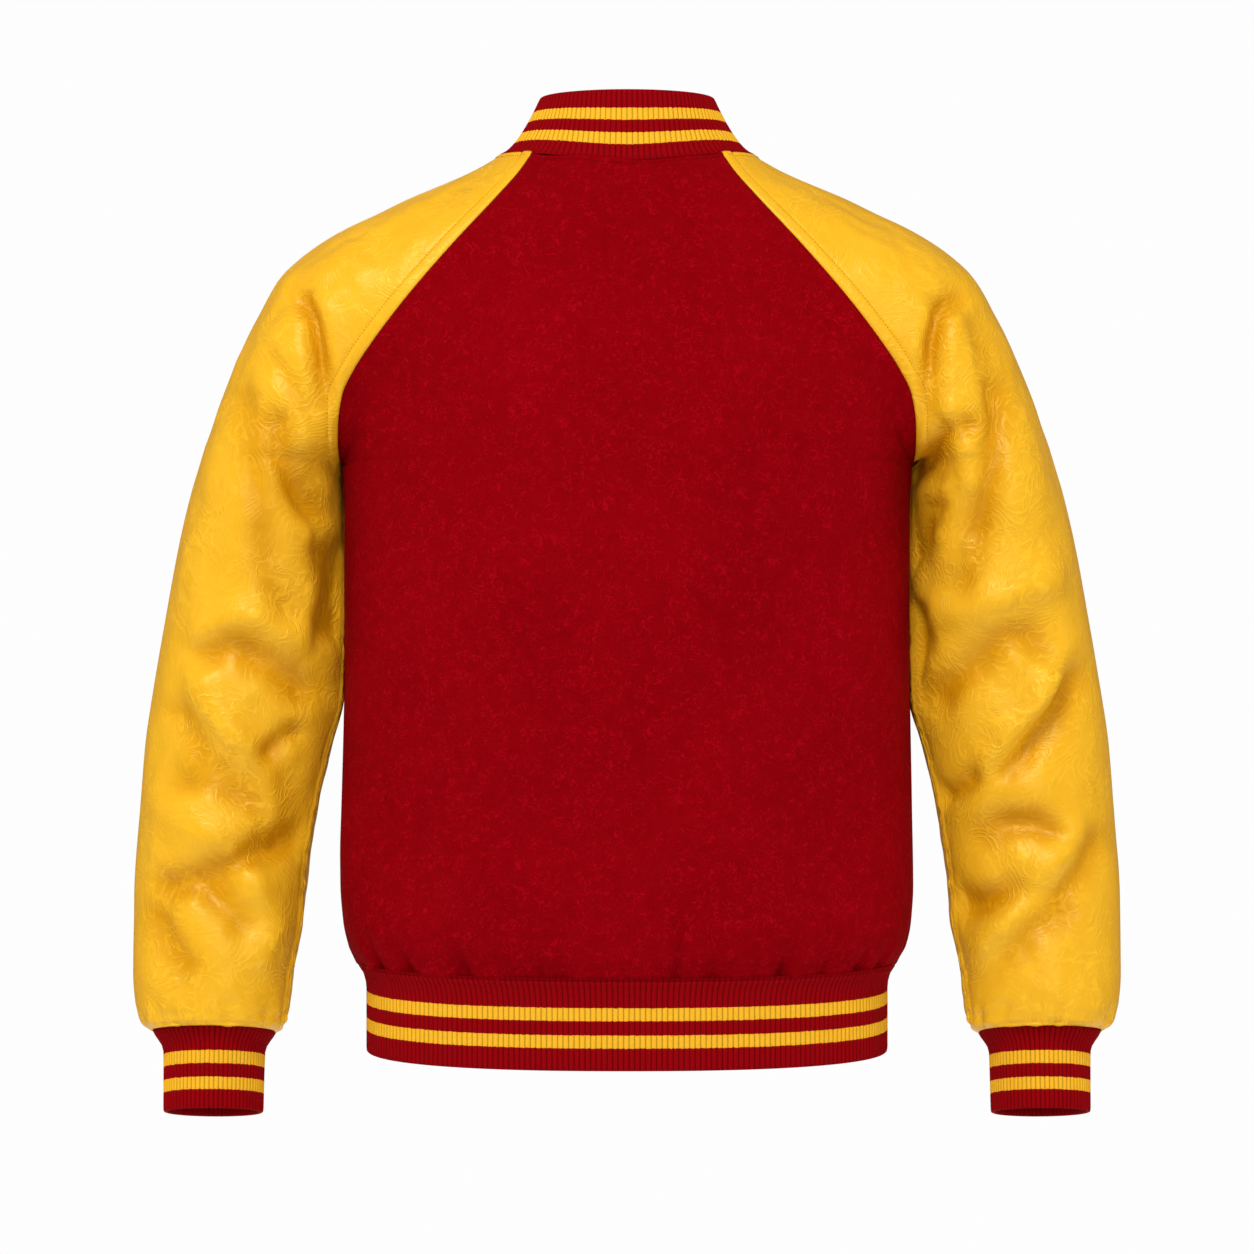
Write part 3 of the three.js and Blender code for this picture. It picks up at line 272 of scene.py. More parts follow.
def raglan_seam(side):
    neck = neck_point(RAGLAN[side][0][0], side)
    path = np.array([(neck[0], neck[2]), *RAGLAN[side][1:]])
    length = np.concatenate([[0], np.cumsum(np.linalg.norm(np.diff(path, axis=0), axis=1))])
    rows = [{"length": far, "x": x, "z": z} for far, (x, z) in zip(length, path)]
    x_at, z_at = column(rows, "length", "x"), column(rows, "length", "z")
    face = FAR if side == "back" else -FAR

    def seam(t):
        far = (1 - (1 - t) ** SEAM_CROWDING) * length[-1]
        x, z = x_at(far), z_at(far)
        found = leave(stack(x, 0, z), stack(x, face, z), shoulder_field)
        found = np.where((t == 0)[..., None], neck, found)
        return np.where((t == 1)[..., None], stack(ARMPIT_X, 0, ARMPIT_Z), found)

    return seam


raglan = {side: raglan_seam(side) for side in ("back", "front")}


def hem_tip(z):
    return HEM_TIP * smoothstep(HEM_TIP_FROM - z, 0, HEM_TIP_FROM - HEM_SEAM_Z)


def body_section(turn, z, field):
    angle = np.radians(turn)
    y = FAR * np.cos(angle)
    return leave(stack(0, 0, z), stack(FAR * np.sin(angle), y, z + hem_tip(z) * y), field)


def body_at_x(x, side, z, field):
    y = FAR if side == "back" else -FAR
    return leave(stack(x, 0, z), stack(x, y, z + hem_tip(z) * y), field)


def wrist_tip(along):
    return WRIST_TIP * smoothstep(WRIST_TIP_FROM - along, 0, WRIST_TIP_FROM - WRIST["along"])


def lower_sleeve_point(along, turn):
    angle = np.radians(turn)
    middle = (sleeve_at["outer"](along) + sleeve_at["inner"](along)) / 2
    heart = stack(FAN_X + middle, sleeve_at["y"](along), ARMPIT_Z + along)
    aim = heart + stack(np.cos(angle), np.sin(angle), wrist_tip(along) * np.sin(angle))
    return leave(heart, aim, sleeve_field)


seam_lines = {side: raglan[side](np.linspace(0, 1, 140)) for side in raglan}
seam_lines["neck"] = neck_point_at(np.linspace(0, 180, 120))
armpit_down = np.linspace(0, WRIST["along"], 120)
seam_lines["underarm"] = lower_sleeve_point(armpit_down, underarm_turn_at(armpit_down))
for name, line in seam_lines.items():
    print(name, "seam:", round(float(np.linalg.norm(np.diff(line, axis=0), axis=1).sum())), "mm")


# %% [markdown]
# Folds and gathers. The large folds are the ones that the solids have, each a trough or a ridge
# along a path of (x, z). Finer ones are added here where the photo shows them. A row holds how
# deep the fold is, how wide, and its path, in millimetres, and a ridge has a depth below zero.
# Gathers are short troughs that run up from the hem and the wrists, where the cloth is eased on
# to a narrower band.

# %% Folds and gathers
SLEEVE_FOLDS = {
    ("left", "back"): [
        (7, 9, [(231, -108), (224, -124), (217, -153), (210, -181)]),
        (5, 13, [(254, -199), (250, -213), (240, -238), (229, -253)]),
        (5, 12, [(275, -181), (268, -224), (260, -267), (254, -310), (243, -334)]),
        (8, 13, [(302, -366), (286, -356), (272, -360), (254, -370), (232, -388)]),
        (-5, 13, [(304, -345), (275, -336), (240, -347)]),
        (-6, 12, [(309, -376), (304, -395), (290, -416), (275, -430)]),
        (6, 12, [(320, -406), (307, -426)]),
        (5, 14, [(318, -452), (304, -446), (286, -449), (272, -463)]),
        (-4, 14, [(325, -470), (308, -488), (285, -498)]),
        (9, 13, [(290, -514), (275, -506), (247, -499)]),
        (6, 13, [(330, -529), (318, -525), (300, -527), (286, -538), (276, -555)]),
        (-5, 12, [(286, -518), (268, -538), (258, -560), (263, -580)]),
        (6, 12, [(341, -552), (329, -570), (317, -586)]),
    ],
    ("left", "front"): [
        (6, 12, [(238, -120), (226, -150), (214, -190)]),
        (7, 14, [(318, -352), (290, -340), (262, -352), (238, -372)]),
        (-5, 13, [(322, -330), (292, -318), (262, -326)]),
        (8, 14, [(330, -408), (300, -398), (268, -410), (242, -428)]),
        (-5, 13, [(326, -378), (298, -370), (262, -384)]),
        (7, 13, [(334, -470), (305, -462), (276, -474)]),
        (6, 13, [(336, -540), (308, -528), (278, -540)]),
    ],
    ("right", "back"): [
        (7, 9, [(236, -108), (227, -113), (218, -140), (212, -171), (209, -188)]),
        (4, 13, [(242, -201), (227, -205), (216, -231)]),
        (5, 12, [(268, -174), (265, -203), (259, -231), (250, -274), (240, -315)]),
        (7, 13, [(302, -361), (290, -351), (274, -349), (259, -360), (242, -375), (224, -392)]),
        (-5, 13, [(231, -333), (266, -324), (302, -310)]),
        (7, 12, [(322, -381), (309, -406), (291, -424), (272, -444)]),
        (-6, 12, [(311, -362), (298, -395), (276, -425), (268, -442)]),
        (6, 13, [(256, -491), (270, -485), (291, -484), (309, -492)]),
        (-6, 12, [(318, -490), (305, -510), (288, -531), (270, -552), (259, -573)]),
        (6, 12, [(339, -498), (327, -518), (313, -531)]),
        (9, 13, [(248, -543), (266, -539), (281, -532)]),
        (6, 12, [(313, -550), (291, -559), (269, -577)]),
    ],
    ("right", "front"): [
        (6, 12, [(236, -124), (224, -156), (213, -192)]),
        (7, 14, [(312, -346), (286, -336), (256, -350), (234, -366)]),
        (-5, 13, [(318, -322), (286, -312), (256, -322)]),
        (8, 14, [(326, -418), (298, -404), (266, -414), (240, -436)]),
        (7, 13, [(334, -482), (302, -470), (272, -484)]),
        (6, 13, [(332, -548), (304, -534), (274, -548)]),
    ],
}
FINE_FOLDS = {
    ("left", "back"): [
        (5.5, 4.5, [(234, -109), (224, -122), (219, -138), (215, -156), (210, -174), (206, -190)]),
        (-2.5, 6, [(224, -108), (213, -132), (209, -152), (203, -172)]),
        (3, 6, [(255, -148), (240, -170), (225, -190)]),
        (5, 9, [(247, -198), (244, -218), (232, -246), (222, -262)]),
        (8, 10, [(214, -290), (211, -312), (214, -345)]),
        (7, 7, [(238, -418), (248, -424), (256, -432)]),
        (5, 9, [(256, -434), (247, -450), (241, -468), (239, -492)]),
        (3, 6, [(328, -461), (316, -457), (298, -459), (272, -468), (262, -477)]),
        (4, 6, [(289, -518), (275, -511), (259, -508), (246, -503)]),
        (4, 9, [(285, -521), (272, -537), (263, -553)]),
        (4, 10, [(328, -531), (310, -527), (298, -537)]),
        (-3, 8, [(300, -380), (290, -400), (280, -414)]),
    ],
    ("right", "back"): [
        (5, 4.5, [(228, -112), (221, -121), (216, -138), (212, -162), (208, -182), (205, -198)]),
        (-2.5, 6, [(214, -122), (209, -140), (205, -162), (201, -180)]),
        (5, 8, [(242, -200), (229, -204), (216, -218), (205, -223)]),
        (4, 10, [(250, -128), (260, -159), (268, -192), (262, -217), (256, -242), (247, -272)]),
        (7, 10, [(218, -259), (212, -280), (204, -293)]),
        (9, 9, [(207, -334), (211, -353), (203, -372)]),
        (7, 8, [(246, -452), (238, -461), (226, -467)]),
        (5, 8, [(315, -390), (295, -417), (276, -438), (270, -446)]),
        (-3, 8, [(305, -385), (285, -412), (262, -436)]),
        (4, 8, [(268, -484), (289, -484), (308, -490)]),
        (-4, 9, [(230, -190), (240, -215), (244, -240)]),
    ],
    ("left", "front"): [
        (4, 7, [(300, -346), (270, -350), (245, -366)]),
        (4, 8, [(315, -404), (280, -402), (250, -420)]),
    ],
    ("right", "front"): [
        (4, 7, [(298, -340), (268, -346), (242, -360)]),
        (4, 8, [(312, -412), (278, -408), (248, -428)]),
    ],
}
BODY_FOLDS = [
    (4.5, 32, [(104, -205), (122, -330), (140, -450), (150, -530)]),
    (-3.5, 28, [(56, -220), (78, -395), (124, -560)]),
    (2.5, 26, [(0, -230), (4, -420), (30, -540)]),
]
HEM_GATHERS = table("turn depth height", [
    (7, 1.4, 26), (21.4, 2, 20), (26, 2.4, 18), (47, 3.6, 40), (61.3, 2.6, 24), (70.5, 3, 28),
    (83, 2.6, 26), (97, 2.8, 28), (109, 3, 24), (121, 2.4, 30), (133, 3.2, 34), (148, 2.2, 22),
    (161, 2.4, 28), (-16, 3, 52), (-25.8, 2.2, 18), (-45.2, 3.8, 30), (-55.1, 2.4, 20),
    (-65.1, 2.8, 24), (-72, 2.6, 26), (-84, 2.4, 28), (-96, 3, 26), (-110, 2.6, 32),
    (-123, 3.4, 26), (-136, 2.4, 22), (-150, 3, 32), (-164, 2.2, 24),
])
CUFF_GATHERS = {
    "left": table("turn depth height", [
        (22, 2, 18), (49, 2.6, 22), (61, 2.2, 16), (106, 2.6, 20), (140, 2.4, 20), (-25, 2.2, 20),
        (-58, 2.6, 22), (-95, 2.2, 18), (-131, 2.6, 22),
    ]),
    "right": table("turn depth height", [
        (30, 2.2, 18), (78, 2.6, 20), (97.5, 2.4, 24), (123, 2.6, 18), (148, 2, 18), (-20, 2.4, 20),
        (-50, 2.2, 22), (-84, 2.6, 18), (-122, 2.4, 22),
    ]),
}
GATHER_HALF_WIDTH, GATHER_EASE = 4.5, 0.6


def near_line(p, line):
    """How far each point lies from a line of points."""
    nearest = np.full(p.shape[:-1], np.inf)
    for a, b in zip(line[:-1], line[1:]):
        run = b - a
        t = np.clip(((p - a) @ run) / max(run @ run, 1e-9), 0, 1)
        nearest = np.minimum(nearest, np.linalg.norm(p - a - t[..., None] * run, axis=-1))
    return nearest


def fold_depth(x, z, folds):
    p = stack(x, z)
    return sum(depth * np.exp(-((near_line(p, np.array(path)) / width) ** 2)) for depth, width, path in folds)


def gather_depth(turn, above, gathers, degree):
    depth = 0
    for gather in gathers:
        across = (turn - gather["turn"]) * degree / GATHER_HALF_WIDTH
        fade = np.clip(1 - above / gather["height"], 0, 1)
        depth = depth + 2 * gather["depth"] * np.exp(-(across ** 2)) * fade * (1 - GATHER_EASE * fade)
    return depth


def waves(seed, shortest, longest, count=14):
    """Smooth random lumps: the sum of a few waves in random directions, about 1 high."""
    rng = np.random.default_rng(seed)
    direction = unit(rng.normal(size=(count, 3)))
    length = rng.uniform(shortest, longest, count)
    phase = rng.uniform(0, 2 * math.pi, count)

    def lumps(p):
        total = 0
        for d, far, start in zip(direction, length, phase):
            total = total + np.sin((p @ d) * 2 * math.pi / far + start)
        return total / math.sqrt(count)

    return lumps


large_folds = sum(map(len, SLEEVE_FOLDS.values())) + len(BODY_FOLDS)
gather_count = len(HEM_GATHERS) + sum(map(len, CUFF_GATHERS.values()))
fine_folds = sum(map(len, FINE_FOLDS.values()))
print("large folds:", large_folds, "fine folds:", fine_folds, "gathers:", gather_count)


# %% [markdown]
# A panel starts as a flat grid, as the cut cloth does, and each of its points is then laid on the
# form. Rows run across the panel, from one seam to the next, and their points stand closer near
# the seams, where the cloth is folded and stitched. The Solidify modifier gives the wall.

# %% Laying a grid on the form
COARSE_PLACES = 41
EDGE_STEPS = np.array([0, 0.5, 1, 1.6, 2.3, 3.2, 4.4, 5.8, 7.2, 8.4, 9.4, 10.4, 11.6, 13.2, 15.5])


def places_along(points_of, row_count, middle):
    """Where a row's points stand, from 0 to 1: close at both ends, and even between them."""
    coarse = np.tile(np.linspace(0, 1, COARSE_PLACES), (row_count, 1))
    step = np.linalg.norm(np.diff(points_of(coarse), axis=1), axis=2)
    arc = np.concatenate([np.zeros((row_count, 1)), np.cumsum(step, axis=1)], axis=1)
    places = []
    for far, at in zip(arc, coarse):
        edge = EDGE_STEPS * min(1, far[-1] / (3 * EDGE_STEPS[-1]))
        between = np.linspace(edge[-1], far[-1] - edge[-1], middle + 2)[1:-1]
        wanted = np.concatenate([edge, between, far[-1] - edge[::-1]])
        places.append(np.interp(wanted, far, at))
    return np.array(places)


def cloth(name, points, normals, wall, marks=None):
    """A grid with its points at the given places, facing the way of the normals, with a wall."""
    rows, columns = points.shape[0] - 1, points.shape[1] - 1
    bm = bmesh.new()
    bmesh.ops.create_grid(bm, x_segments=columns, y_segments=rows, size=0.5)
    piece = to_piece(bm, name)
    mesh = piece.data
    flat = np.empty(len(mesh.vertices) * 3)
    mesh.vertices.foreach_get("co", flat)
    flat = flat.reshape(-1, 3)
    c = np.rint((flat[:, 0] + 0.5) * columns).astype(int)
    r = np.rint((flat[:, 1] + 0.5) * rows).astype(int)
    mesh.vertices.foreach_set("co", (points[r, c] * MM).ravel())
    for key, values in (marks or {}).items():
        attribute = mesh.attributes.new(key, "FLOAT", "POINT")
        attribute.data.foreach_set("value", values[r, c].astype(np.float32))
    mesh.update()
    middle = mesh.polygons[len(mesh.polygons) // 2]
    outwards = Vector(normals[r[middle.vertices[0]], c[middle.vertices[0]]])
    if middle.normal.dot(outwards) < 0:
        mesh.flip_normals()
    shade_smooth(mesh)
    if wall:
        shell = piece.modifiers.new("wall", "SOLIDIFY")
        shell.thickness, shell.offset = wall * MM, -1
    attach(piece, "root")
    return piece


def mirrored(p):
    return p * np.array([-1, 1, 1])


def level(normals):
    """The same directions with their rise taken out."""
    return unit(normals * np.array([1, 1, 0]))


ROWS_UPPER = 76
ROWS_LOWER = 104
UPPER_END, BETWEEN = 0.95, 4
# Closer rows under the collar, where the welt and its stitches are
CLOSE_END, CLOSE_ROWS = 0.034, 12
CLOSE_HEM_ROWS, CLOSE_HEM_REACH = 15, 14
upper_t = np.concatenate([
    np.linspace(0, CLOSE_END, CLOSE_ROWS)[:-1],
    np.linspace(CLOSE_END, UPPER_END, ROWS_UPPER),
])
# How high a row above the armpit is said to stand over the hem or the wrist, and what tells it
FAR_ABOVE, TELLS_FAR = 999, 900


def joined(upper, lower):
    """The upper rows and the lower rows, with a few straight ones between them at the armpit."""
    share = np.linspace(0, 1, BETWEEN + 2)[1:-1].reshape(-1, *[1] * (upper.ndim - 1))
    return np.concatenate([upper, lerp(upper[-1], lower[0], share), lower])


print("rows above the armpit:", len(upper_t), "below it:", ROWS_LOWER)


# %% [markdown]
# Relief along the seams. The leather lies over the wool on the raglan seam, with a rounded edge
# and one row of topstitching about 9 mm in. Under the collar both are held by a welt with its own
# row of stitches. The wool ducks under where the leather starts.

# %% Relief along the seams
RAGLAN_STITCH, NECK_STITCH, UNDERARM_STITCH = 9.4, 4.8, 4.2
LEATHER_PUFF = {"raglan": 1.3, "neck": 0.9, "underarm": 1.2}
LEATHER_DUCK = {"depth": 0.6, "width": 1.1, "underarm_depth": 1.6, "underarm_width": 0.8}
WOOL_DUCK = {"depth": 0.4, "width": 2, "neck_depth": 0.3, "neck_width": 1.1}
WOOL_PUFF = 0.7


def ditch(distance, at, depth, width):
    """A groove that follows a seam at a set distance."""
    return -depth * np.exp(-(((distance - at) / width) ** 2))


def pillow(distance, width, height):
    """A rounded band from a seam to the row of stitches that holds it."""
    across = np.clip(distance / width, 0, 1)
    return height * (1 - (2 * across - 1) ** 4) * (across < 1)


def duck_under(distance, depth, width):
    """The drop of a piece's edge where it goes under its neighbour."""
    return -depth * np.exp(-((distance / width) ** 2))


def leather_relief(p, side):
    raglan_far = near_line(p, seam_lines[side])
    neck_far = near_line(p, seam_lines["neck"])
    under_far = near_line(p, seam_lines["underarm"])
    raglan_band = pillow(raglan_far, RAGLAN_STITCH, LEATHER_PUFF["raglan"])
    band = np.maximum(raglan_band, pillow(neck_far, NECK_STITCH, LEATHER_PUFF["neck"]))
    seam = ditch(raglan_far, RAGLAN_STITCH, 0.6, 0.8) + ditch(neck_far, NECK_STITCH, 0.5, 0.7)
    duck = duck_under(neck_far, LEATHER_DUCK["depth"], LEATHER_DUCK["width"])
    under = pillow(under_far, UNDERARM_STITCH, LEATHER_PUFF["underarm"])
    under = under + duck_under(under_far, LEATHER_DUCK["underarm_depth"], LEATHER_DUCK["underarm_width"])
    return band + seam + duck + under, raglan_far, neck_far, under_far


def wool_relief(p, side):
    raglan_far = near_line(p, seam_lines[side])
    neck_far = near_line(p, seam_lines["neck"])
    duck = duck_under(raglan_far, WOOL_DUCK["depth"], WOOL_DUCK["width"])
    welt = pillow(neck_far, NECK_STITCH, WOOL_PUFF) + ditch(neck_far, NECK_STITCH, 0.6, 0.8)
    return duck + welt + duck_under(neck_far, WOOL_DUCK["neck_depth"], WOOL_DUCK["neck_width"]), neck_far


def seam_row(points, normals, distance, wanted):
    """Where each row of a panel crosses a set distance from a seam, going out from its middle."""
    line, up = [], []
    for row, normal, far in zip(points, normals, distance):
        inside = np.nonzero((far[:-1] > wanted) & (far[1:] <= wanted))[0]
        if len(inside):
            c = inside[-1]
            share = (far[c] - wanted) / (far[c] - far[c + 1])
            line.append(lerp(row[c], row[c + 1], share))
            up.append(lerp(normal[c], normal[c + 1], share))
    return np.array(line), unit(np.array(up))


stitch_rows = []
print("stitches lie", RAGLAN_STITCH, "and", NECK_STITCH, "mm from the raglan and neck seams")


# %% [markdown]
# The wool body: a back panel and two fronts. Each half is laid from its raglan and side seams to
# the middle, or past it on the fronts, where the left one laps over the right one. Melton is
# thick and stiff, so it hangs in broad soft waves and only puckers where the hem band grips it.

# %% The wool panels
WOOL_WALL = 2.5
FRONT_EDGE, LAP_LIFT, LAP_FULL_X, LAP_NONE_X = 13, 3.3, 14, 46
HEART_Z, HEM_GATHER_GAIN = -120, 2.4
NEAR_SEAM, BODY_SLACK = 0.2, 1.1
CALM_SHARE, SIDE_SEAM_TOP = 0.15, 358
WOOL_SWAY, HEM_PUCKER, PUCKER_FADE = 1.6, 1.0, 14
TUCK_IN, TUCK_DOWN = 3, 2.4
wool_sway = waves(11, 70, 150)
hem_pucker = waves(12, 9, 22)


def held_near(point, heart, seam, near, slack):
    """Beside a seam, a point goes about as far out from its heart as the seam does."""
    reach = np.linalg.norm(point - heart, axis=-1)
    limit = np.linalg.norm(seam - heart, axis=-1)
    share = np.where(near & (reach > slack * limit), limit / reach, 1)
    return heart + (point - heart) * share[..., None]


def tucked(points, out, shift, lift=0):
    """Two rows past the last one, where the cloth goes down into the band that is sewn to it."""
    down = unit(points[-1] - points[-2])
    rows = []
    for share in (0.5, 1):
        inward = lerp(shift[-1], lift - TUCK_IN, share)
        rows.append(points[-1] + down * TUCK_DOWN * share + out[-1] * inward[:, None])
    return np.array(rows)


def with_tuck(rows):
    """The same values for the two tucked rows as for the last one."""
    return np.concatenate([rows, rows[-1:], rows[-1:]])


print("the cloth goes", TUCK_DOWN, "mm down into the band at the hem and the wrists")


# %% Half of the wool body
def body_half(side, edge_x, middle, lift, hand):
    """From the raglan and side seams to edge_x, with rows from the neck down to the hem."""
    seam_neck = raglan[side](np.array(0.0))
    edge_neck = neck_point(abs(edge_x), side)
    edge_neck[0] = edge_x
    lower_z = np.concatenate([
        np.linspace(ARMPIT_Z, HEM_SEAM_Z + CLOSE_HEM_REACH, ROWS_LOWER - CLOSE_HEM_ROWS + 1),
        np.linspace(HEM_SEAM_Z + CLOSE_HEM_REACH, HEM_SEAM_Z, CLOSE_HEM_ROWS)[1:],
    ])
    t = upper_t
    seam = raglan[side](t)
    edge = body_at_x(edge_x, side, lerp(edge_neck[2], ARMPIT_Z, t), shoulder_field)
    edge[0] = edge_neck
    z_col, t_col = lower_z[:, None], t[:, None]

    def upper(u):
        turn = lerp(turn_of(seam)[:, None], turn_of(edge)[:, None], u)
        high = neck_point_at(lerp(turn_of(seam_neck), turn_of(edge_neck), u))
        high = high + (seam - seam_neck)[:, None] * (1 - u)[..., None]
        high = high + (edge - edge_neck)[:, None] * u[..., None]
        flat = body_section(turn, lerp(seam[:, None, 2], edge[:, None, 2], u), shoulder_field)
        flat = held_near(flat, flat * np.array([0, 0, 1]), seam[:, None], u < NEAR_SEAM, BODY_SLACK)
        high = lerp(high, flat, smoothstep(t_col, 0.1, 0.6)[..., None])
        heart = stack(0, 0, np.minimum(high[..., 2], HEART_Z))
        found = leave(heart, high, shoulder_field)
        found = held_near(found, heart, seam[:, None], u < NEAR_SEAM, BODY_SLACK)
        return np.where((u == 0)[..., None], seam[:, None], found)

    edge_low = body_at_x(edge_x, side, lower_z, body_field)

    def lower(u):
        return body_section(lerp(90.0, turn_of(edge_low)[:, None], u), z_col, body_field)

    upper_u = places_along(upper, len(t), middle)
    lower_u = places_along(lower, len(lower_z), middle)
    low_turn = lerp(90.0, turn_of(edge_low)[:, None], lower_u)
    high, low = upper(upper_u), lower(lower_u)
    points = joined(high, low)
    high_normals, low_normals = facing(high, shoulder_field), facing(low, body_field)
    normals = joined(high_normals, low_normals)
    out = unit(joined(high_normals, level(low_normals)))
    u = joined(upper_u, lower_u)
    turn = joined(0 * upper_u + low_turn[0], low_turn)
    above = joined(0 * upper_u + FAR_ABOVE, (lower_z - HEM_SEAM_Z)[:, None] + 0 * lower_u)
    degree = body_at["side"](points[..., 2]) * math.pi / 180
    gathers = [dict(g, turn=g["turn"] * (1 if hand == "left" else -1)) for g in HEM_GATHERS]
    calm = smoothstep(u, 0, CALM_SHARE)
    shift = lift(points[..., 0]) - fold_depth(np.abs(points[..., 0]), points[..., 2], BODY_FOLDS) * calm
    shift = shift - HEM_GATHER_GAIN * gather_depth(turn, above, gathers, degree)
    sample = points if hand == "left" else mirrored(points)
    shift = shift + WOOL_SWAY * wool_sway(sample) * calm * smoothstep(above, 20, 90)
    pucker = HEM_PUCKER * hem_pucker(sample * np.array([1, 1, 0.25]))
    shift = shift + pucker * np.exp(-above / PUCKER_FADE)
    relief, neck_far = wool_relief(points, side)
    shift = shift - 1.2 * np.exp(-above / 1.2) + relief
    row_length = np.linalg.norm(points[:, -1] - points[:, 0], axis=-1)[:, None]
    side_far = np.where(above < TELLS_FAR, u * row_length, FAR)
    shift = shift + duck_under(side_far, 1.0, 1.3) * (above < SIDE_SEAM_TOP)
    tuck = tucked(points, out, shift, lift(points[-1, :, 0]))
    points = points + out * shift[..., None]
    if hand == "right":
        points, normals, tuck = mirrored(points), mirrored(normals), mirrored(tuck)
    stitch_rows.append(("red", *seam_row(*[np.swapaxes(a, 0, 1)[:, ::-1] for a in (points, normals)],
                                         neck_far.T[:, ::-1], NECK_STITCH)))
    return np.concatenate([points, tuck]), with_tuck(normals)


print("rows of one half:", len(upper_t) + BETWEEN + ROWS_LOWER)


# %% The three wool panels
def lap_lift(x):
    """How far the left front is lifted, where it lies over the right one."""
    return LAP_LIFT * (1 - smoothstep(x, LAP_FULL_X, LAP_NONE_X))


def no_lift(x):
    return 0 * x


BACK_MIDDLE = 46
FRONT_MIDDLE = 48
left_half = body_half("back", 0, BACK_MIDDLE, no_lift, "left")
right_half = body_half("back", 0, BACK_MIDDLE, no_lift, "right")
# The middle of the back isn't a seam, so its closer points give way to even ones
keep = np.r_[0:len(EDGE_STEPS) + BACK_MIDDLE, len(EDGE_STEPS) * 2 + BACK_MIDDLE - 1]
back_points, back_normals = [
    np.concatenate([a[:, keep], b[:, keep][:, -2::-1]], axis=1) for a, b in zip(left_half, right_half)
]
back = cloth("wool_back", back_points, back_normals, WOOL_WALL)
left_half = body_half("front", -FRONT_EDGE, FRONT_MIDDLE, lap_lift, "left")
front_left = cloth("wool_front_left", *left_half, WOOL_WALL)
right_half = body_half("front", -FRONT_EDGE, FRONT_MIDDLE, no_lift, "right")
front_right = cloth("wool_front_right", *right_half, WOOL_WALL)
for piece, node in ((back, "back"), (front_left, "front_left"), (front_right, "front_right")):
    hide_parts(node)
    print(piece.name, len(piece.data.polygons), "faces")


# %% [markdown]
# The leather sleeves, each in a back and a front half. Above the armpit their rows fan out from
# the armpit to the neck, and below it they are level. Leather keeps its folds, so these are the
# large folds of the form, with soft lumps between them and puckers along every stitched seam.

# %% The leather sleeves
LEATHER_WALL = 2
NECK_FADE, FOLD_FADE_Y, FOLD_GAIN, CUFF_GATHER_GAIN = 0.35, 20, 1.2, 1.5
SLEEVE_SLACK, CREASE_FULL, TROUGH_FULL = 1.8, 6, 8
LUMPS, SMALL_LUMPS, SEAM_PUCKER = 1.2, 0.4, 0.9
neck_side = neck_point_at(np.array(90.0))
NECK_FAN = math.atan2(neck_side[2] - ARMPIT_Z, NECK["side"] - FAN_X)
leather_lumps = {"left": waves(21, 26, 60), "right": waves(22, 26, 60)}
leather_small = {"left": waves(23, 11, 24), "right": waves(24, 11, 24)}
seam_pucker = waves(25, 9, 18)


def fan_point(side, t, w):
    """A point of a row that runs out from the armpit's side, w from the sleeve's top to the seam."""
    sign = 1 if side == "back" else -1
    angle = NECK_FAN * (1 - t)
    out, up = stack(np.cos(angle), 0, np.sin(angle)), stack(-np.sin(angle), 0, np.cos(angle))
    along = angle * FAN_RADIUS
    middle = (sleeve_at["outer"](along) + sleeve_at["inner"](along)) / 2
    heart = stack(FAN_X, 0, ARMPIT_Z) + out * middle[..., None]
    seam = raglan[side](t)
    to_seam = seam - heart
    reach_out, reach_up = (to_seam * out).sum(-1), (to_seam * up).sum(-1)
    seam_turn = np.arctan2(sign * to_seam[..., 1], reach_out)
    rise = reach_up / np.hypot(reach_out, to_seam[..., 1]) * w * w
    aim = heart + out * np.cos(w * seam_turn)[..., None] + up * rise[..., None]
    aim = aim + stack(0, sign * np.sin(w * seam_turn), 0)
    found = leave(heart, aim, shoulder_field)
    return heart, seam, held_near(found, heart, seam, w > 1 - NEAR_SEAM, SLEEVE_SLACK)


def upper_sleeve(side, t, w):
    heart, seam, point = fan_point(side, t, w)
    near_neck = (1 - np.minimum(t / NECK_FADE, 1)) ** 2
    neck = neck_point_at(lerp(90, turn_of(raglan[side](np.array(0.0))), w))
    first = fan_point(side, 0 * t, w)[2]
    moved = leave(heart, point + (neck - first) * near_neck[..., None], shoulder_field)
    moved = np.where((near_neck == 0)[..., None], point, moved)
    moved = np.where((t == 0)[..., None], neck, moved)
    return np.where((w == 1)[..., None], seam, moved)


print("the fan of rows turns through", round(math.degrees(NECK_FAN)), "degrees")


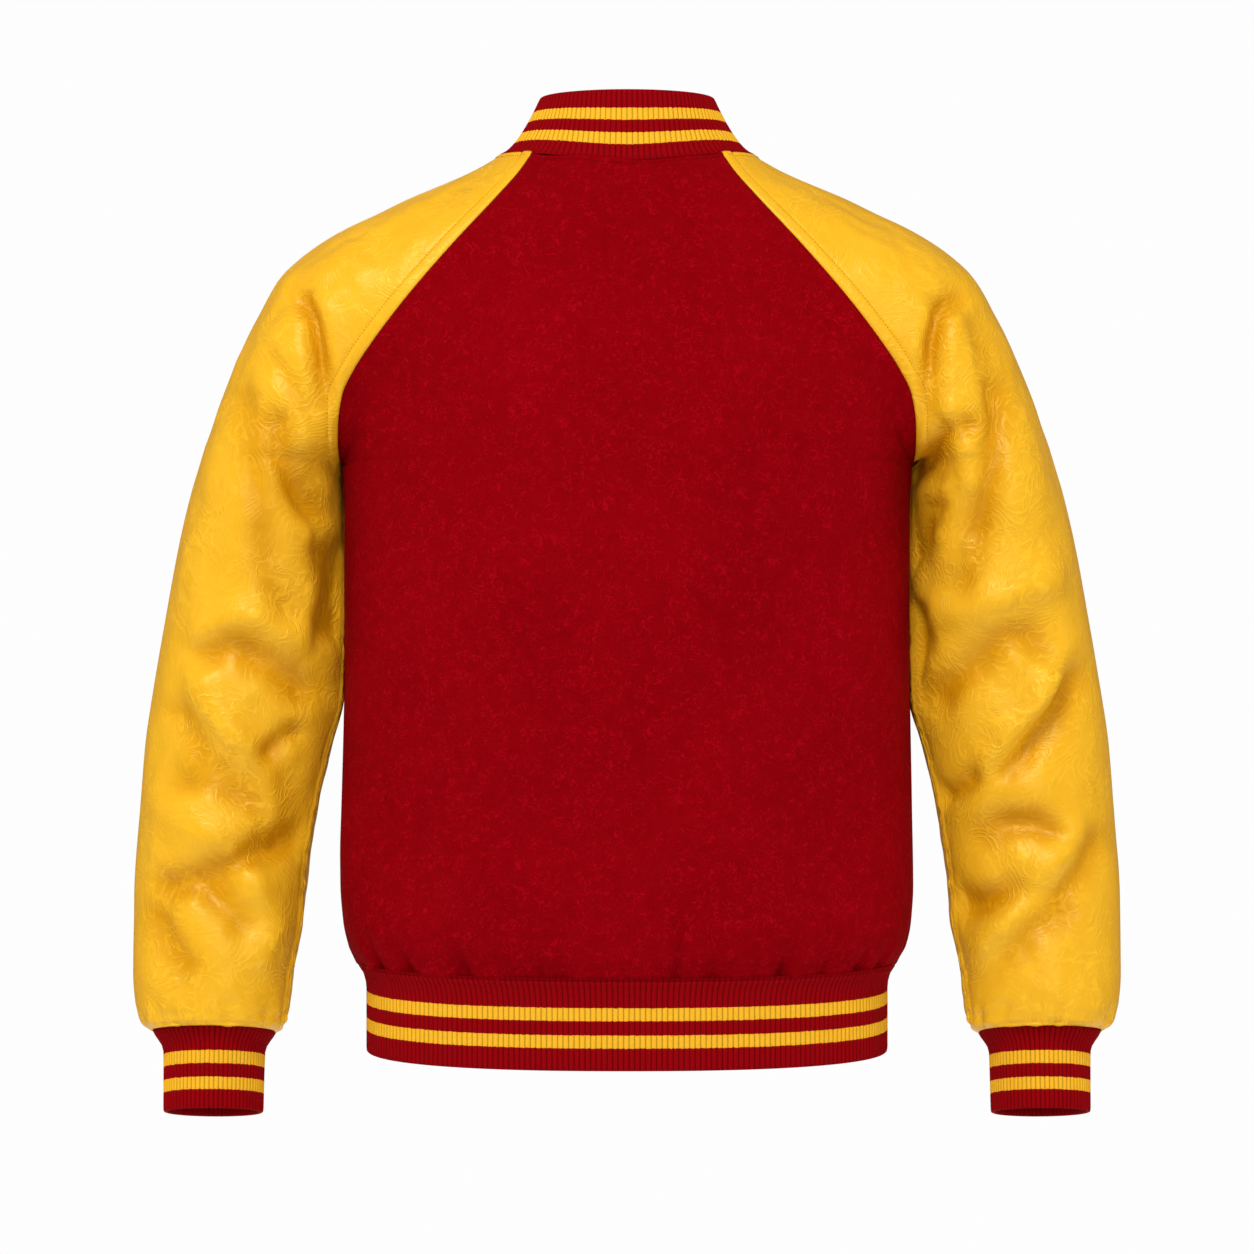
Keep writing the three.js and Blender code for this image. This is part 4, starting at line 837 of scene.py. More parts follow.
# %% Half of a sleeve
def sleeve_half(hand, side, middle):
    """From the seam along the top to the raglan and underarm seams, with rows down to the wrist."""
    sign = 1 if side == "back" else -1
    t = upper_t[:, None]
    down = np.concatenate([
        np.linspace(0, WRIST["along"] + CLOSE_HEM_REACH, ROWS_LOWER),
        np.linspace(WRIST["along"] + CLOSE_HEM_REACH, WRIST["along"], CLOSE_HEM_ROWS)[1:],
    ])[:, None]
    low_turn = underarm_turn_at(down) - (0 if side == "back" else 360)

    def upper(w):
        return upper_sleeve(side, t + 0 * w, w)

    def lower(w):
        return lower_sleeve_point(down + 0 * w, low_turn * w)

    upper_w = places_along(upper, len(t), middle)
    lower_w = places_along(lower, len(down), middle)
    high, low = upper(upper_w), lower(lower_w)
    points = joined(high, low)
    high_normals, low_normals = facing(high, shoulder_field), facing(low, sleeve_field)
    normals = joined(high_normals, low_normals)
    out = unit(joined(high_normals, level(low_normals)))
    w = joined(upper_w, lower_w)
    turn = joined(0 * upper_w, low_turn * lower_w)
    along = joined(0 * upper_w, down + 0 * lower_w)
    above = joined(0 * upper_w + FAR_ABOVE, down - WRIST["along"] + 0 * lower_w)
    degree = (sleeve_at["outer"](along) - sleeve_at["inner"](along)) / 2 * math.pi / 180
    seen = smoothstep(sign * (points[..., 1] - sleeve_at["y"](along)), 0, FOLD_FADE_Y)
    calm = np.where(above > TELLS_FAR, smoothstep(1 - w, 0, CALM_SHARE), 1)
    folds = [(depth * FOLD_GAIN, width, path) for depth, width, path in SLEEVE_FOLDS[hand, side]]
    folds += FINE_FOLDS[hand, side]
    relief, raglan_far, neck_far, under_far = leather_relief(points, side)
    fold = fold_depth(points[..., 0], points[..., 2], folds) * seen * calm * smoothstep(under_far, 2, 15)
    over_far = w * np.linalg.norm(np.diff(points, axis=1), axis=2).sum(axis=1)[:, None]
    loose = smoothstep(np.minimum(raglan_far, neck_far), 6, 40) * smoothstep(over_far, 15, 70)
    loose = loose * smoothstep(under_far, 8, 50)
    shift = relief - fold - CUFF_GATHER_GAIN * gather_depth(turn, above, CUFF_GATHERS[hand], degree)
    lumps = LUMPS * leather_lumps[hand](points) + SMALL_LUMPS * leather_small[hand](points)
    shift = shift + loose * lumps
    stitched = smoothstep(over_far, 3, 20) * (np.exp(-under_far / 9) + np.exp(-above / PUCKER_FADE))
    shift = shift + SEAM_PUCKER * seam_pucker(points) * stitched - 1.4 * np.exp(-above / 1.3)
    tuck = tucked(points, out, shift)
    points = points + out * shift[..., None]
    # crease sets how dense the fine creases are, and they also get a painted highlight; trough drives painted
    # shade in the folds
    marks = {
        "crease": with_tuck(np.clip(np.abs(fold) / CREASE_FULL, 0, 1)),
        "trough": with_tuck(np.clip(fold / TROUGH_FULL, -1, 1)),
    }
    if hand == "right":
        points, normals, tuck = mirrored(points), mirrored(normals), mirrored(tuck)
    stitch_rows.append(("yellow", *seam_row(points, normals, raglan_far, RAGLAN_STITCH)))
    turned = [np.swapaxes(a, 0, 1)[:, ::-1] for a in (points, normals)]
    stitch_rows.append(("yellow", *seam_row(*turned, neck_far.T[:, ::-1], NECK_STITCH)))
    return np.concatenate([points, tuck]), with_tuck(normals), LEATHER_WALL, marks


# %% The four sleeve halves
SLEEVE_MIDDLE = 38
for hand in ("left", "right"):
    for side in ("back", "front"):
        piece = cloth(f"leather_sleeve_{hand}_{side}", *sleeve_half(hand, side, SLEEVE_MIDDLE))
        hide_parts(f"sleeve_{hand}_{side}")
        print(piece.name, len(piece.data.polygons), "faces")


# %% [markdown]
# Rib knit. A band of it is folded double, so its section is a closed loop: down the outside,
# round the fold and up the inside. The grid is laid round that loop and along the band, with
# eight points across each rib, so that every rib is a round cord with a narrow valley beside it.
# Each rib is a little stouter or thinner than the next, as in real knit.

# %% Bands of rib knit
KNIT_WALL, RIB_HEIGHT = 2.2, 0.9
RIB_POINTS = 8
RIB_ROUNDNESS, INSIDE_RIB_SHARE = 2.4, 0.25
THINNEST_RIB, STOUTEST_RIB = 0.82, 1.12
OUTSIDE_ROWS = np.concatenate([[-0.05, 0.0, 0.03, 0.07, 0.12, 0.19], np.linspace(0.27, 0.97, 11)])
FOLD_STEPS, EVEN_STEPS = 7, 1201
# Drops on the inside of a band are past every stripe, so that it stays plain there
PAST_STRIPES = 9
MERGE_DISTANCE = 2e-6


def even_places(curve, count):
    at = np.linspace(0, 1, EVEN_STEPS)
    far = np.concatenate([[0], np.cumsum(np.linalg.norm(np.diff(curve(at), axis=0), axis=1))])
    return np.interp(np.linspace(0, far[-1], count + 1), far, at)


def surface_facing(surface, u, v, ring, step=1e-3):
    low, high = (u - step, u + step) if ring else (np.maximum(u - step, 0), np.minimum(u + step, 1))
    across = surface(high, v) - surface(low, v)
    down = surface(u, np.minimum(v + step, 1)) - surface(u, np.maximum(v - step, 0))
    return unit(np.cross(across, down))


def rib_band(name, surface, height, ribs, ring, upright, seed, both=True):
    """A folded band over surface(u, v), with v from 0 at its seam to 1 at its fold or free edge."""
    u = even_places(lambda at: surface(at, 0.5 + 0 * at), ribs * RIB_POINTS)
    phase = np.arange(len(u)) % RIB_POINTS / RIB_POINTS * 2 - 1
    outside = OUTSIDE_ROWS
    turn = np.linspace(0, math.pi, FOLD_STEPS)
    half = (KNIT_WALL + RIB_HEIGHT) / 2
    fold_v = 1 - half / height
    fold = fold_v + np.sin(turn[1:-1]) * (1 - fold_v)
    v = np.concatenate([outside * fold_v, fold, outside[::-1] * fold_v])
    face = np.concatenate([np.ones(len(outside)), np.cos(turn[1:-1]), -np.ones(len(outside))])
    drop = np.concatenate([
        outside * fold_v * height,
        height + 0 * turn[1:-1],
        (1 + (1 - outside[::-1]) * (fold_v if both else PAST_STRIPES)) * height,
    ])
    rng = np.random.default_rng(seed)
    rib_of = np.arange(len(u)) // RIB_POINTS
    stoutness = rng.uniform(THINNEST_RIB, STOUTEST_RIB, ribs + 1)[rib_of]
    profile = (1 - np.abs(phase) ** RIB_ROUNDNESS) * stoutness
    grid_u, grid_v = np.broadcast_arrays(u[None, :], v[:, None])
    normal = surface_facing(surface, grid_u, grid_v, ring)
    borders = ((grid_v <= 0) | (grid_v > fold_v))[..., None]
    flat = unit(normal - (normal @ upright)[..., None] * upright)
    normal = np.where(borders, flat, normal)
    out, inn = RIB_HEIGHT * profile, -KNIT_WALL - INSIDE_RIB_SHARE * RIB_HEIGHT * profile
    middle = (RIB_HEIGHT - KNIT_WALL) / 2
    far = middle + np.where(face[:, None] > 0, out - middle, middle - inn) * face[:, None]
    shape = surface(grid_u, grid_v) + normal * far[..., None]
    shape = np.concatenate([shape, shape[:1]])
    normal = np.concatenate([normal * np.sign(face)[:, None, None], normal[:1]])
    drop = np.concatenate([drop, drop[:1]])
    shown = np.concatenate([np.ones(len(drop) - 2), [0, 1]])
    marks = {
        "drop": drop[:, None] + 0 * u,
        # valley drives painted shade between the ribs in the knit's colour
        "valley": (np.abs(phase) ** 3)[None, :] + 0 * drop[:, None],
        "shown": shown[:, None] + 0 * u,
    }
    piece = cloth(name, shape, normal, None, marks)
    bm = bmesh.new()
    bm.from_mesh(piece.data)
    bmesh.ops.remove_doubles(bm, verts=bm.verts, dist=MERGE_DISTANCE)
    open_edges = [edge for edge in bm.edges if edge.is_boundary]
    if open_edges:
        bmesh.ops.holes_fill(bm, edges=open_edges, sides=0)
    bmesh.ops.recalc_face_normals(bm, faces=bm.faces)
    bm.to_mesh(piece.data)
    bm.free()
    shade_smooth(piece.data)
    print(name, len(piece.data.polygons), "faces,", ribs, "ribs")
    return piece


print("points across one rib:", RIB_POINTS)


# %% [markdown]
# The hem band, the cuffs and the collar. The hem band and cuffs flare up to the seam, where the
# fuller cloth is eased on to them. The collar stands on the neck seam and leans in as it rises,
# steeply at first, which is what pulls the top of the jacket in around the neck.

# %% The hem band
def oval(turn, side, depth, squareness):
    angle = np.radians(turn)
    across, along = np.sin(angle), np.cos(angle)
    radius = (np.abs(across / side) ** squareness + np.abs(along / depth) ** squareness) ** (-1 / squareness)
    return radius * across, radius * along


SEAM_GAP = 0.3
HEM_HEIGHT, HEM_RIBS, HEM_LAP_LIFT = 62.8, 267, 3.8
HEM_SECTIONS = table("drop side back front", [
    (0, 194.7, 123, 124.5), (5, 191.4, 121, 122.5), (16, 189, 119.5, 121), (63, 189, 119.5, 121),
])
hem_at = {name: column(HEM_SECTIONS, "drop", name) for name in ("side", "back", "front")}


def turn_in_front(x):
    return 180 - math.degrees(math.atan(x / float(hem_at["front"](0))))


HEM_END_TURN = turn_in_front(-FRONT_EDGE)


def hem_surface(u, v):
    turn = lerp(-HEM_END_TURN, HEM_END_TURN, u)
    drop = v * HEM_HEIGHT
    lift = HEM_LAP_LIFT * smoothstep(turn, turn_in_front(LAP_NONE_X), turn_in_front(LAP_FULL_X))
    depth = np.where(np.cos(np.radians(turn)) > 0, hem_at["back"](drop), hem_at["front"](drop))
    x, y = oval(turn, hem_at["side"](drop) + lift, depth + lift, BODY_SQUARENESS)
    return stack(x, y, HEM_SEAM_Z - SEAM_GAP - drop + HEM_TIP * y)


hem_upright = unit(np.array([0, -HEM_TIP, 1]))
hem_band = rib_band("knit_hem_band", hem_surface, HEM_HEIGHT, HEM_RIBS, False, hem_upright, 31, both=False)
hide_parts("hem_band")

# %% The cuffs
CUFF_LENGTH, CUFF_RIBS = 59.5, 70
CUFF_SECTIONS = table("drop across deep", [
    (0, 44.2, 45.5), (4.6, 41.6, 43.4), (10.5, 37.4, 40.2), (16, 35.9, 39), (59.5, 35.2, 38.2),
])
cuff_at = {name: column(CUFF_SECTIONS, "drop", name) for name in ("across", "deep")}
CUFF_DOWN = unit(np.array([0, WRIST_TIP, -1]))
CUFF_BACK = unit(np.array([0, 1, WRIST_TIP]))


def cuff_surface(hand):
    sign = 1 if hand == "left" else -1
    start = np.array([sign * WRIST["x"], WRIST["y"], ARMPIT_Z + WRIST["along"] - SEAM_GAP])

    def surface(u, v):
        angle, drop = 2 * math.pi * u, v * CUFF_LENGTH
        across = stack(cuff_at["across"](drop) * np.sin(angle), 0, 0)
        back = CUFF_BACK * (cuff_at["deep"](drop) * np.cos(angle))[..., None]
        return start + CUFF_DOWN * drop[..., None] + across + back

    return surface


for hand, seed in (("left", 32), ("right", 33)):
    surface = cuff_surface(hand)
    cuff = rib_band(f"knit_cuff_{hand}", surface, CUFF_LENGTH, CUFF_RIBS, True, CUFF_DOWN, seed, both=False)
    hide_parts(f"cuff_{hand}")

# %% The collar
COLLAR = {"end_gap": 1, "rise": 0.6, "front_rise": 1.35, "flare": 0.62, "ribs": 122, "height": 50}
COLLAR_TOP = {"side": 62.5, "back": 60.5, "front": 52, "side_z": 43, "front_z": -28}
COLLAR_END_TURN = 180 - math.degrees(math.atan(COLLAR["end_gap"] / NECK["front"]))


def collar_surface(u, v):
    """v is 0 on the neck seam and 1 at the top edge."""
    turn = lerp(COLLAR_END_TURN, -COLLAR_END_TURN, u)
    base = neck_point_at(np.abs(turn))
    ahead = -np.cos(np.radians(turn))
    rise = lerp(COLLAR["rise"], COLLAR["front_rise"], smoothstep(ahead, 0, 0.7))
    depth = np.where(ahead > 0, COLLAR_TOP["front"], COLLAR_TOP["back"])
    top_x, top_y = oval(np.abs(turn), COLLAR_TOP["side"], depth, 2)
    top_z = lerp(COLLAR_TOP["side_z"], COLLAR_TOP["front_z"], np.where(ahead > 0, ahead ** 2, 0))
    inward = np.maximum(v, 0) ** COLLAR["flare"]
    x = np.where(turn < 0, -1, 1) * lerp(base[..., 0], top_x, inward)
    return stack(x, lerp(base[..., 1], top_y, inward), lerp(base[..., 2] + rise, top_z, v))


up = np.array([0, 0, 1.0])
collar = rib_band("knit_collar", collar_surface, COLLAR["height"], COLLAR["ribs"], False, up, 34)
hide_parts("collar")


# %% [markdown]
# Snap caps. A snap's cap is pressed from thin sheet: a low dome inside a rolled rim. Half of its
# profile is spun about the middle, which gives even faces and a closed form.

# %% Snap caps
SNAP_PROFILE = [(0, 0), (6.9, 0), (7.4, 0.45), (7.5, 1), (7.2, 1.55), (6.5, 1.75), (5.9, 1.5), (5.5, 1.55),
                (4.4, 2.4), (2.4, 3), (0, 3.2)]
SNAP_HEIGHTS = [-97, -180, -263, -346, -429, -512]
SNAP_STAND, HEM_SNAP_DROP, SNAP_SIDES = 0.3, 31, 32
snap_places = []
for z in SNAP_HEIGHTS:
    field = shoulder_field if z > ARMPIT_Z else body_field
    point = body_at_x(np.array(0.0), "front", np.array(float(z)), field)
    snap_places.append((point, facing(point, field), LAP_LIFT + SNAP_STAND))
hem_u = (180 + HEM_END_TURN) / (2 * HEM_END_TURN)
hem_point = hem_surface(np.array(hem_u), np.array(HEM_SNAP_DROP / HEM_HEIGHT))
snap_places.append((hem_point, np.array([0, -1.0, 0]), RIB_HEIGHT + SNAP_STAND))

for number, (point, normal, lift) in enumerate(snap_places, 1):
    bm = bmesh.new()
    ring = [bm.verts.new((r * MM, 0, h * MM)) for r, h in SNAP_PROFILE]
    edges = [bm.edges.new(pair) for pair in zip(ring[:-1], ring[1:])]
    bmesh.ops.spin(bm, geom=ring + edges, axis=(0, 0, 1), cent=(0, 0, 0), angle=2 * math.pi,
                   steps=SNAP_SIDES, use_merge=True)
    bmesh.ops.remove_doubles(bm, verts=bm.verts, dist=1e-6)
    bmesh.ops.recalc_face_normals(bm, faces=bm.faces)
    turned = Vector((0, 0, 1)).rotation_difference(Vector(normal)).to_matrix().to_4x4()
    place = Matrix.Translation(Vector((point + normal * lift) * MM)) @ turned
    bmesh.ops.transform(bm, matrix=place, verts=bm.verts)
    snap = to_piece(bm, f"snap_cap_{number}")
    shade_smooth(snap.data)
    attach(snap, "root")
    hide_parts(f"snap_{number}")
print("snap caps:", len(snap_places))


# %% [markdown]
# Topstitching. Each stitch is a short rounded thread that sits in the groove made for it. They
# are small meshes with few faces, because there are hundreds of them, and real ones catch the
# light in a way that a painted dotted line does not.

# %% Topstitching
STITCH_PITCH, STITCH_HALF, STITCH_THICK, STITCH_LOOK = 2.6, 0.95, 0.3, 0.6
SHORTEST_ROW = 3


def stitch_row(bm, line, normals):
    """Stitches along a line of points, a pitch apart, each turned towards the next."""
    far = np.concatenate([[0], np.cumsum(np.linalg.norm(np.diff(line, axis=0), axis=1))])
    places = np.arange(STITCH_PITCH, far[-1] - STITCH_PITCH, STITCH_PITCH)
    at = stack(*[np.interp(places, far, line[:, i]) for i in range(3)])
    ahead = stack(*[np.interp(places + STITCH_LOOK, far, line[:, i]) for i in range(3)])
    up = stack(*[np.interp(places, far, normals[:, i]) for i in range(3)])
    for point, next_point, normal in zip(at, ahead, up):
        along = Vector(next_point - point).normalized()
        side = along.cross(Vector(normal)).normalized()
        turned = Matrix((along, side, along.cross(side))).transposed().to_4x4()
        size = Matrix.Diagonal((STITCH_HALF * MM, STITCH_THICK * MM, STITCH_THICK * MM, 1))
        matrix = Matrix.Translation(Vector(point * MM)) @ turned @ size
        bmesh.ops.create_uvsphere(bm, u_segments=6, v_segments=4, radius=1, matrix=matrix)
    return len(places)


for thread in ("red", "yellow"):
    bm = bmesh.new()
    rows = [row for row in stitch_rows if row[0] == thread and len(row[1]) > SHORTEST_ROW]
    count = 0
    for _, line, normals in rows:
        one = bmesh.new()
        count += stitch_row(one, line, normals)
        row_mesh = bpy.data.meshes.new("one_row")
        one.to_mesh(row_mesh)
        one.free()
        bm.from_mesh(row_mesh)
        bpy.data.meshes.remove(row_mesh)
    stitches = to_piece(bm, f"{thread}_topstitching")
    shade_smooth(stitches.data)
    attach(stitches, "root")
    print(stitches.name, count, "stitches in", len(rows), "rows")


# %% [markdown]
# Materials. All are made of nodes on Object coordinates, so that a pattern keeps its real size
# and stays where it is on the cloth.

# %% Helpers for node materials
def material(name, values):
    """A material whose shader has the given numbers and colours on its own sockets."""
    made = bpy.data.materials.new(name)
    made.use_nodes = True
    shader = made.node_tree.nodes["Principled BSDF"]
    for key, value in values.items():
        shader.inputs[key].default_value = value
    return made, made.node_tree, shader


def node(tree, kind, inputs=None, **settings):
    made = tree.nodes.new(kind)
    for key, value in settings.items():
        setattr(made, key, value)
    for key, value in (inputs or {}).items():
        if isinstance(value, bpy.types.NodeSocket):
            tree.links.new(value, made.inputs[key])
        else:
            made.inputs[key].default_value = value
    return made


def math_node(tree, operation, a, b=0.0, c=0.0):
    return node(tree, "ShaderNodeMath", {0: a, 1: b, 2: c}, operation=operation).outputs[0]


def noise(tree, place, scale, detail=2.0, roughness=0.5, distortion=0.0):
    inputs = {"Vector": place, "Scale": scale, "Detail": detail}
    inputs.update({"Roughness": roughness, "Distortion": distortion})
    return node(tree, "ShaderNodeTexNoise", inputs).outputs["Fac"]


def span(tree, value, low, high, to_low=0.0, to_high=1.0):
    inputs = {"Value": value, "From Min": low, "From Max": high, "To Min": to_low, "To Max": to_high}
    return node(tree, "ShaderNodeMapRange", inputs, clamp=True).outputs[0]


def mix_color(tree, share, a, b, blend="MIX"):
    made = tree.nodes.new("ShaderNodeMix")
    made.data_type, made.blend_type = "RGBA", blend
    for key, value in ((0, share), (6, a), (7, b)):
        if isinstance(value, bpy.types.NodeSocket):
            tree.links.new(value, made.inputs[key])
        else:
            made.inputs[key].default_value = value
    return made.outputs[2]


def attribute(tree, name):
    return node(tree, "ShaderNodeAttribute", attribute_name=name).outputs["Fac"]


def bump(tree, height, strength, distance):
    inputs = {"Height": height, "Strength": strength, "Distance": distance}
    return node(tree, "ShaderNodeBump", inputs).outputs["Normal"]


def darker(color, share):
    return tuple(share * part for part in color[:3]) + (1,)


print("darker by half:", darker((0.8, 0.4, 0.2, 1), 0.5))


# %% [markdown]
# Melton wool is woven, then felted until the weave is hidden under short matted fibres. So its
# colour is mottled at the size of a fibre, curled fibres lie on top in a lighter tone, and it has
# no gloss, only a faint soft sheen at grazing angles.

# %% Wool
WOOL_DEEP, WOOL_LIT = (0.175, 0.0002, 0.0020, 1), (0.245, 0.0006, 0.0038, 1)
LOOSE_FIBRE, FIBRE_SHARE = (0.55, 0.004, 0.015, 1), 0.3
wool, tree, shader = material("melton_wool", {
    "Roughness": 0.95, "Specular IOR Level": 0.1, "Specular Tint": (1, 0.05, 0.08, 1),
    "Sheen Weight": 0.1, "Sheen Roughness": 0.4, "Sheen Tint": (0.8, 0.0, 0.02, 1),
})
place = node(tree, "ShaderNodeTexCoord").outputs["Object"]


def curls(tree, place, scale, width, patch_scale, kept):
    """Thin curled lines, as loose fibres lie on felted cloth, in patches."""
    level_line = math_node(tree, "SUBTRACT", noise(tree, place, scale, 1.0, 0.4, 1.2), 0.5)
    line = span(tree, math_node(tree, "ABSOLUTE", level_line), 0.0, width, 1.0, 0.0)
    patch = span(tree, noise(tree, place, patch_scale, 1), kept, kept + 0.08)
    return math_node(tree, "MULTIPLY", line, patch)


fibres = noise(tree, place, 620, 5, 0.72, 0.6)
mottle = noise(tree, place, 95, 4, 0.6)
broad = noise(tree, place, 9, 2, 0.5)
curled = curls(tree, place, 175, 0.045, 110, 0.42)
tone = math_node(tree, "MULTIPLY_ADD", fibres, 0.5, math_node(tree, "MULTIPLY", mottle, 0.25))
tone = math_node(tree, "MULTIPLY_ADD", broad, 0.25, tone)
color = mix_color(tree, span(tree, tone, 0.36, 0.64), WOOL_DEEP, WOOL_LIT)
color = mix_color(tree, math_node(tree, "MULTIPLY", curled, FIBRE_SHARE), color, LOOSE_FIBRE)
tree.links.new(color, shader.inputs["Base Color"])
height = math_node(tree, "MULTIPLY_ADD", curled, 0.7, fibres)
tree.links.new(bump(tree, height, 0.4, 0.0005), shader.inputs["Normal"])
for piece in (back, front_left, front_right):
    piece.data.materials.append(wool)
print(wool.name, len(tree.nodes), "nodes")

# %% [markdown]
# The sleeves are smooth cowhide with a soft finish. It has a fine grain all over and a net of small
# creases that is closest where the leather has been bent. Its colour is darkened in the folds as
# painted shade and lightened along the creases as painted highlight. Its gloss is a soft specular.

# %% Leather
# Painted shade: the second colour is the folds' shade as well as a darker random tone; the first is the
# lighter end that the painted crease highlights reach
LEATHER_LIT, LEATHER_SHADE_AND_DARK_TONE = (0.90, 0.51, 0.022, 1), (0.60, 0.26, 0.001, 1)
leather, tree, shader = material("yellow_leather", {
    "Roughness": 0.37, "Specular IOR Level": 0.4, "Specular Tint": (1, 0.86, 0.42, 1),
})
place = node(tree, "ShaderNodeTexCoord").outputs["Object"]


def strands(tree, place, scale, count, kept, wander):
    """Short raised creases that run side by side, as the contour lines of a soft hilly field."""
    hills = math_node(tree, "MULTIPLY", noise(tree, place, scale, 1.2, 0.4, 0.9), count * 2 * math.pi)
    hills = math_node(tree, "MULTIPLY_ADD", noise(tree, place, scale * 7, 1, 0.5), wander, hills)
    line = span(tree, math_node(tree, "SINE", hills), 0.1, 1.0)
    line = math_node(tree, "POWER", line, 1.3)
    patch = span(tree, noise(tree, place, scale * 4.5, 2, 0.5), kept, kept + 0.13)
    return math_node(tree, "MULTIPLY", line, patch)


bent = span(tree, attribute(tree, "crease"), 0.0, 0.6, 0.7, 1.0)
patch = span(tree, noise(tree, place, 20, 2, 0.5), 0.38, 0.62, 0.35, 1.0)
amount = math_node(tree, "MULTIPLY", bent, patch)
long_ones = strands(tree, place, 15, 20, 0.38, 9)
short_ones = strands(tree, place, 27, 15, 0.42, 7)
creases = math_node(tree, "MAXIMUM", long_ones, short_ones)
creases = math_node(tree, "MULTIPLY", creases, amount)
grain = noise(tree, place, 900, 3, 0.6)
soft = noise(tree, place, 48, 3, 0.5)
height = math_node(tree, "MULTIPLY_ADD", grain, 0.1, creases)
height = math_node(tree, "MULTIPLY_ADD", soft, 3, height)
# Painted shade: the colour goes darker with the depth of each fold's trough
trough = span(tree, attribute(tree, "trough"), 0.0, 1.0)
cloudy = math_node(tree, "MULTIPLY", noise(tree, place, 30, 3, 0.5), 0.3)
tone = math_node(tree, "MULTIPLY_ADD", trough, 0.6, cloudy)
# Painted highlight: the raised creases are made lighter in colour, as lit ridges
tone = math_node(tree, "MULTIPLY_ADD", creases, -0.3, math_node(tree, "ADD", tone, 0.18))
color = mix_color(tree, span(tree, tone, 0.0, 1.0), LEATHER_LIT, LEATHER_SHADE_AND_DARK_TONE)
tree.links.new(color, shader.inputs["Base Color"])
tree.links.new(bump(tree, height, 1.0, 0.00036), shader.inputs["Normal"])
for piece in bpy.data.objects:
    if piece.name.startswith("leather_sleeve"):
        piece.data.materials.append(leather)
print(leather.name, len(tree.nodes), "nodes")

# %% [markdown]
# The thread matches the cloth that it holds, a little deeper, and its twist is a fine change of
# tone, since a single twist of it is too small to be modelled.

# %% Thread
THREADS = {"red": (0.12, 0.0006, 0.003, 1), "yellow": (0.50, 0.25, 0.012, 1)}
for thread, tone in THREADS.items():
    made, tree, shader = material(f"{thread}_thread", {"Roughness": 0.7, "Specular IOR Level": 0.1})
    place = node(tree, "ShaderNodeTexCoord").outputs["Object"]
    twist = span(tree, noise(tree, place, 2500, 2), 0.3, 0.7)
    tree.links.new(mix_color(tree, twist, darker(tone, 0.7), tone), shader.inputs["Base Color"])
    bpy.data.objects[f"{thread}_topstitching"].data.materials.append(made)
    print(made.name, len(tree.nodes), "nodes")

# %% [markdown]
# The knit's stripes are knitted in, so a row of stitches changes colour all at once. The drop
# from the seam is kept on each point of the band, and the colour changes at set drops.

# %% Rib knit
RED_RIB, YELLOW_RIB = (0.275, 0.0012, 0.0046, 1), (0.87, 0.47, 0.026, 1)
STRIPE_EDGE = 0.1


def knit_material(name, stripes):
    """Red knit with yellow stripes, each from one drop to another, in millimetres."""
    made, tree, shader = material(name, {
        "Roughness": 0.88, "Specular IOR Level": 0.08, "Specular Tint": (1, 0.3, 0.1, 1),
    })
    place = node(tree, "ShaderNodeTexCoord").outputs["Object"]
    ragged = math_node(tree, "MULTIPLY", math_node(tree, "SUBTRACT", noise(tree, place, 420, 1), 0.5), 1.1)
    drop = math_node(tree, "ADD", attribute(tree, "drop"), ragged)
    shown = math_node(tree, "GREATER_THAN", attribute(tree, "shown"), 0.95)
    share = None
    for start, end in stripes:
        begun = span(tree, drop, start - STRIPE_EDGE, start + STRIPE_EDGE)
        not_over = span(tree, drop, end - STRIPE_EDGE, end + STRIPE_EDGE, 1, 0)
        inside = math_node(tree, "MULTIPLY", begun, not_over)
        share = inside if share is None else math_node(tree, "MAXIMUM", share, inside)
    fuzz = noise(tree, place, 900, 3, 0.6)
    red = mix_color(tree, span(tree, fuzz, 0.3, 0.7), darker(RED_RIB, 0.78), RED_RIB)
    yellow = mix_color(tree, span(tree, fuzz, 0.3, 0.7), darker(YELLOW_RIB, 0.88), YELLOW_RIB)
    color = mix_color(tree, math_node(tree, "MULTIPLY", share, shown), red, yellow)
    # Painted shade: the colour is darkened in the valleys between the ribs
    valley = span(tree, attribute(tree, "valley"), 0.25, 1.0, 1.0, 0.45)
    color = mix_color(tree, 1.0, color, valley, "MULTIPLY")
    tree.links.new(color, shader.inputs["Base Color"])
    tree.links.new(bump(tree, fuzz, 0.35, 0.0005), shader.inputs["Normal"])
    print(name, len(stripes), "stripes")
    return made


hem_band.data.materials.append(knit_material("hem_knit", [(18.2, 27.3), (37.5, 46.6)]))
cuff_knit = knit_material("cuff_knit", [(18, 27.25), (37.05, 45.85)])
for hand in ("left", "right"):
    bpy.data.objects[f"knit_cuff_{hand}"].data.materials.append(cuff_knit)
collar_knit = knit_material("collar_knit", [(9.3, 17.9), (27.4, 36.1), (63.9, 72.6), (82.1, 90.7)])
collar.data.materials.append(collar_knit)

# %% [markdown]
# The snap caps are plated, and rubbed a little by use, so their gloss varies in fine scuffs.

# %% Snap metal
metal, tree, shader = material("snap_metal", {"Metallic": 1.0, "Roughness": 0.28})
place = node(tree, "ShaderNodeTexCoord").outputs["Object"]
scuffs = noise(tree, place, 700, 4, 0.6)
color = mix_color(tree, span(tree, scuffs, 0.3, 0.7), (0.55, 0.55, 0.57, 1), (0.68, 0.68, 0.7, 1))
tree.links.new(color, shader.inputs["Base Color"])
tree.links.new(span(tree, scuffs, 0.3, 0.7, 0.22, 0.38), shader.inputs["Roughness"])
for piece in bpy.data.objects:
    if piece.name.startswith("snap_cap"):
        piece.data.materials.append(metal)
print(metal.name, len(tree.nodes), "nodes")

# %% [markdown]
# The stage. The jacket hangs free in the photo, so the floor is well below it. The camera stands
# behind the back, level with the middle of the picture. Large soft lights stand behind the
# camera, at the sides and in front. Only those behind the camera show in the gloss, because the
# others would leave white glare along the shoulders.

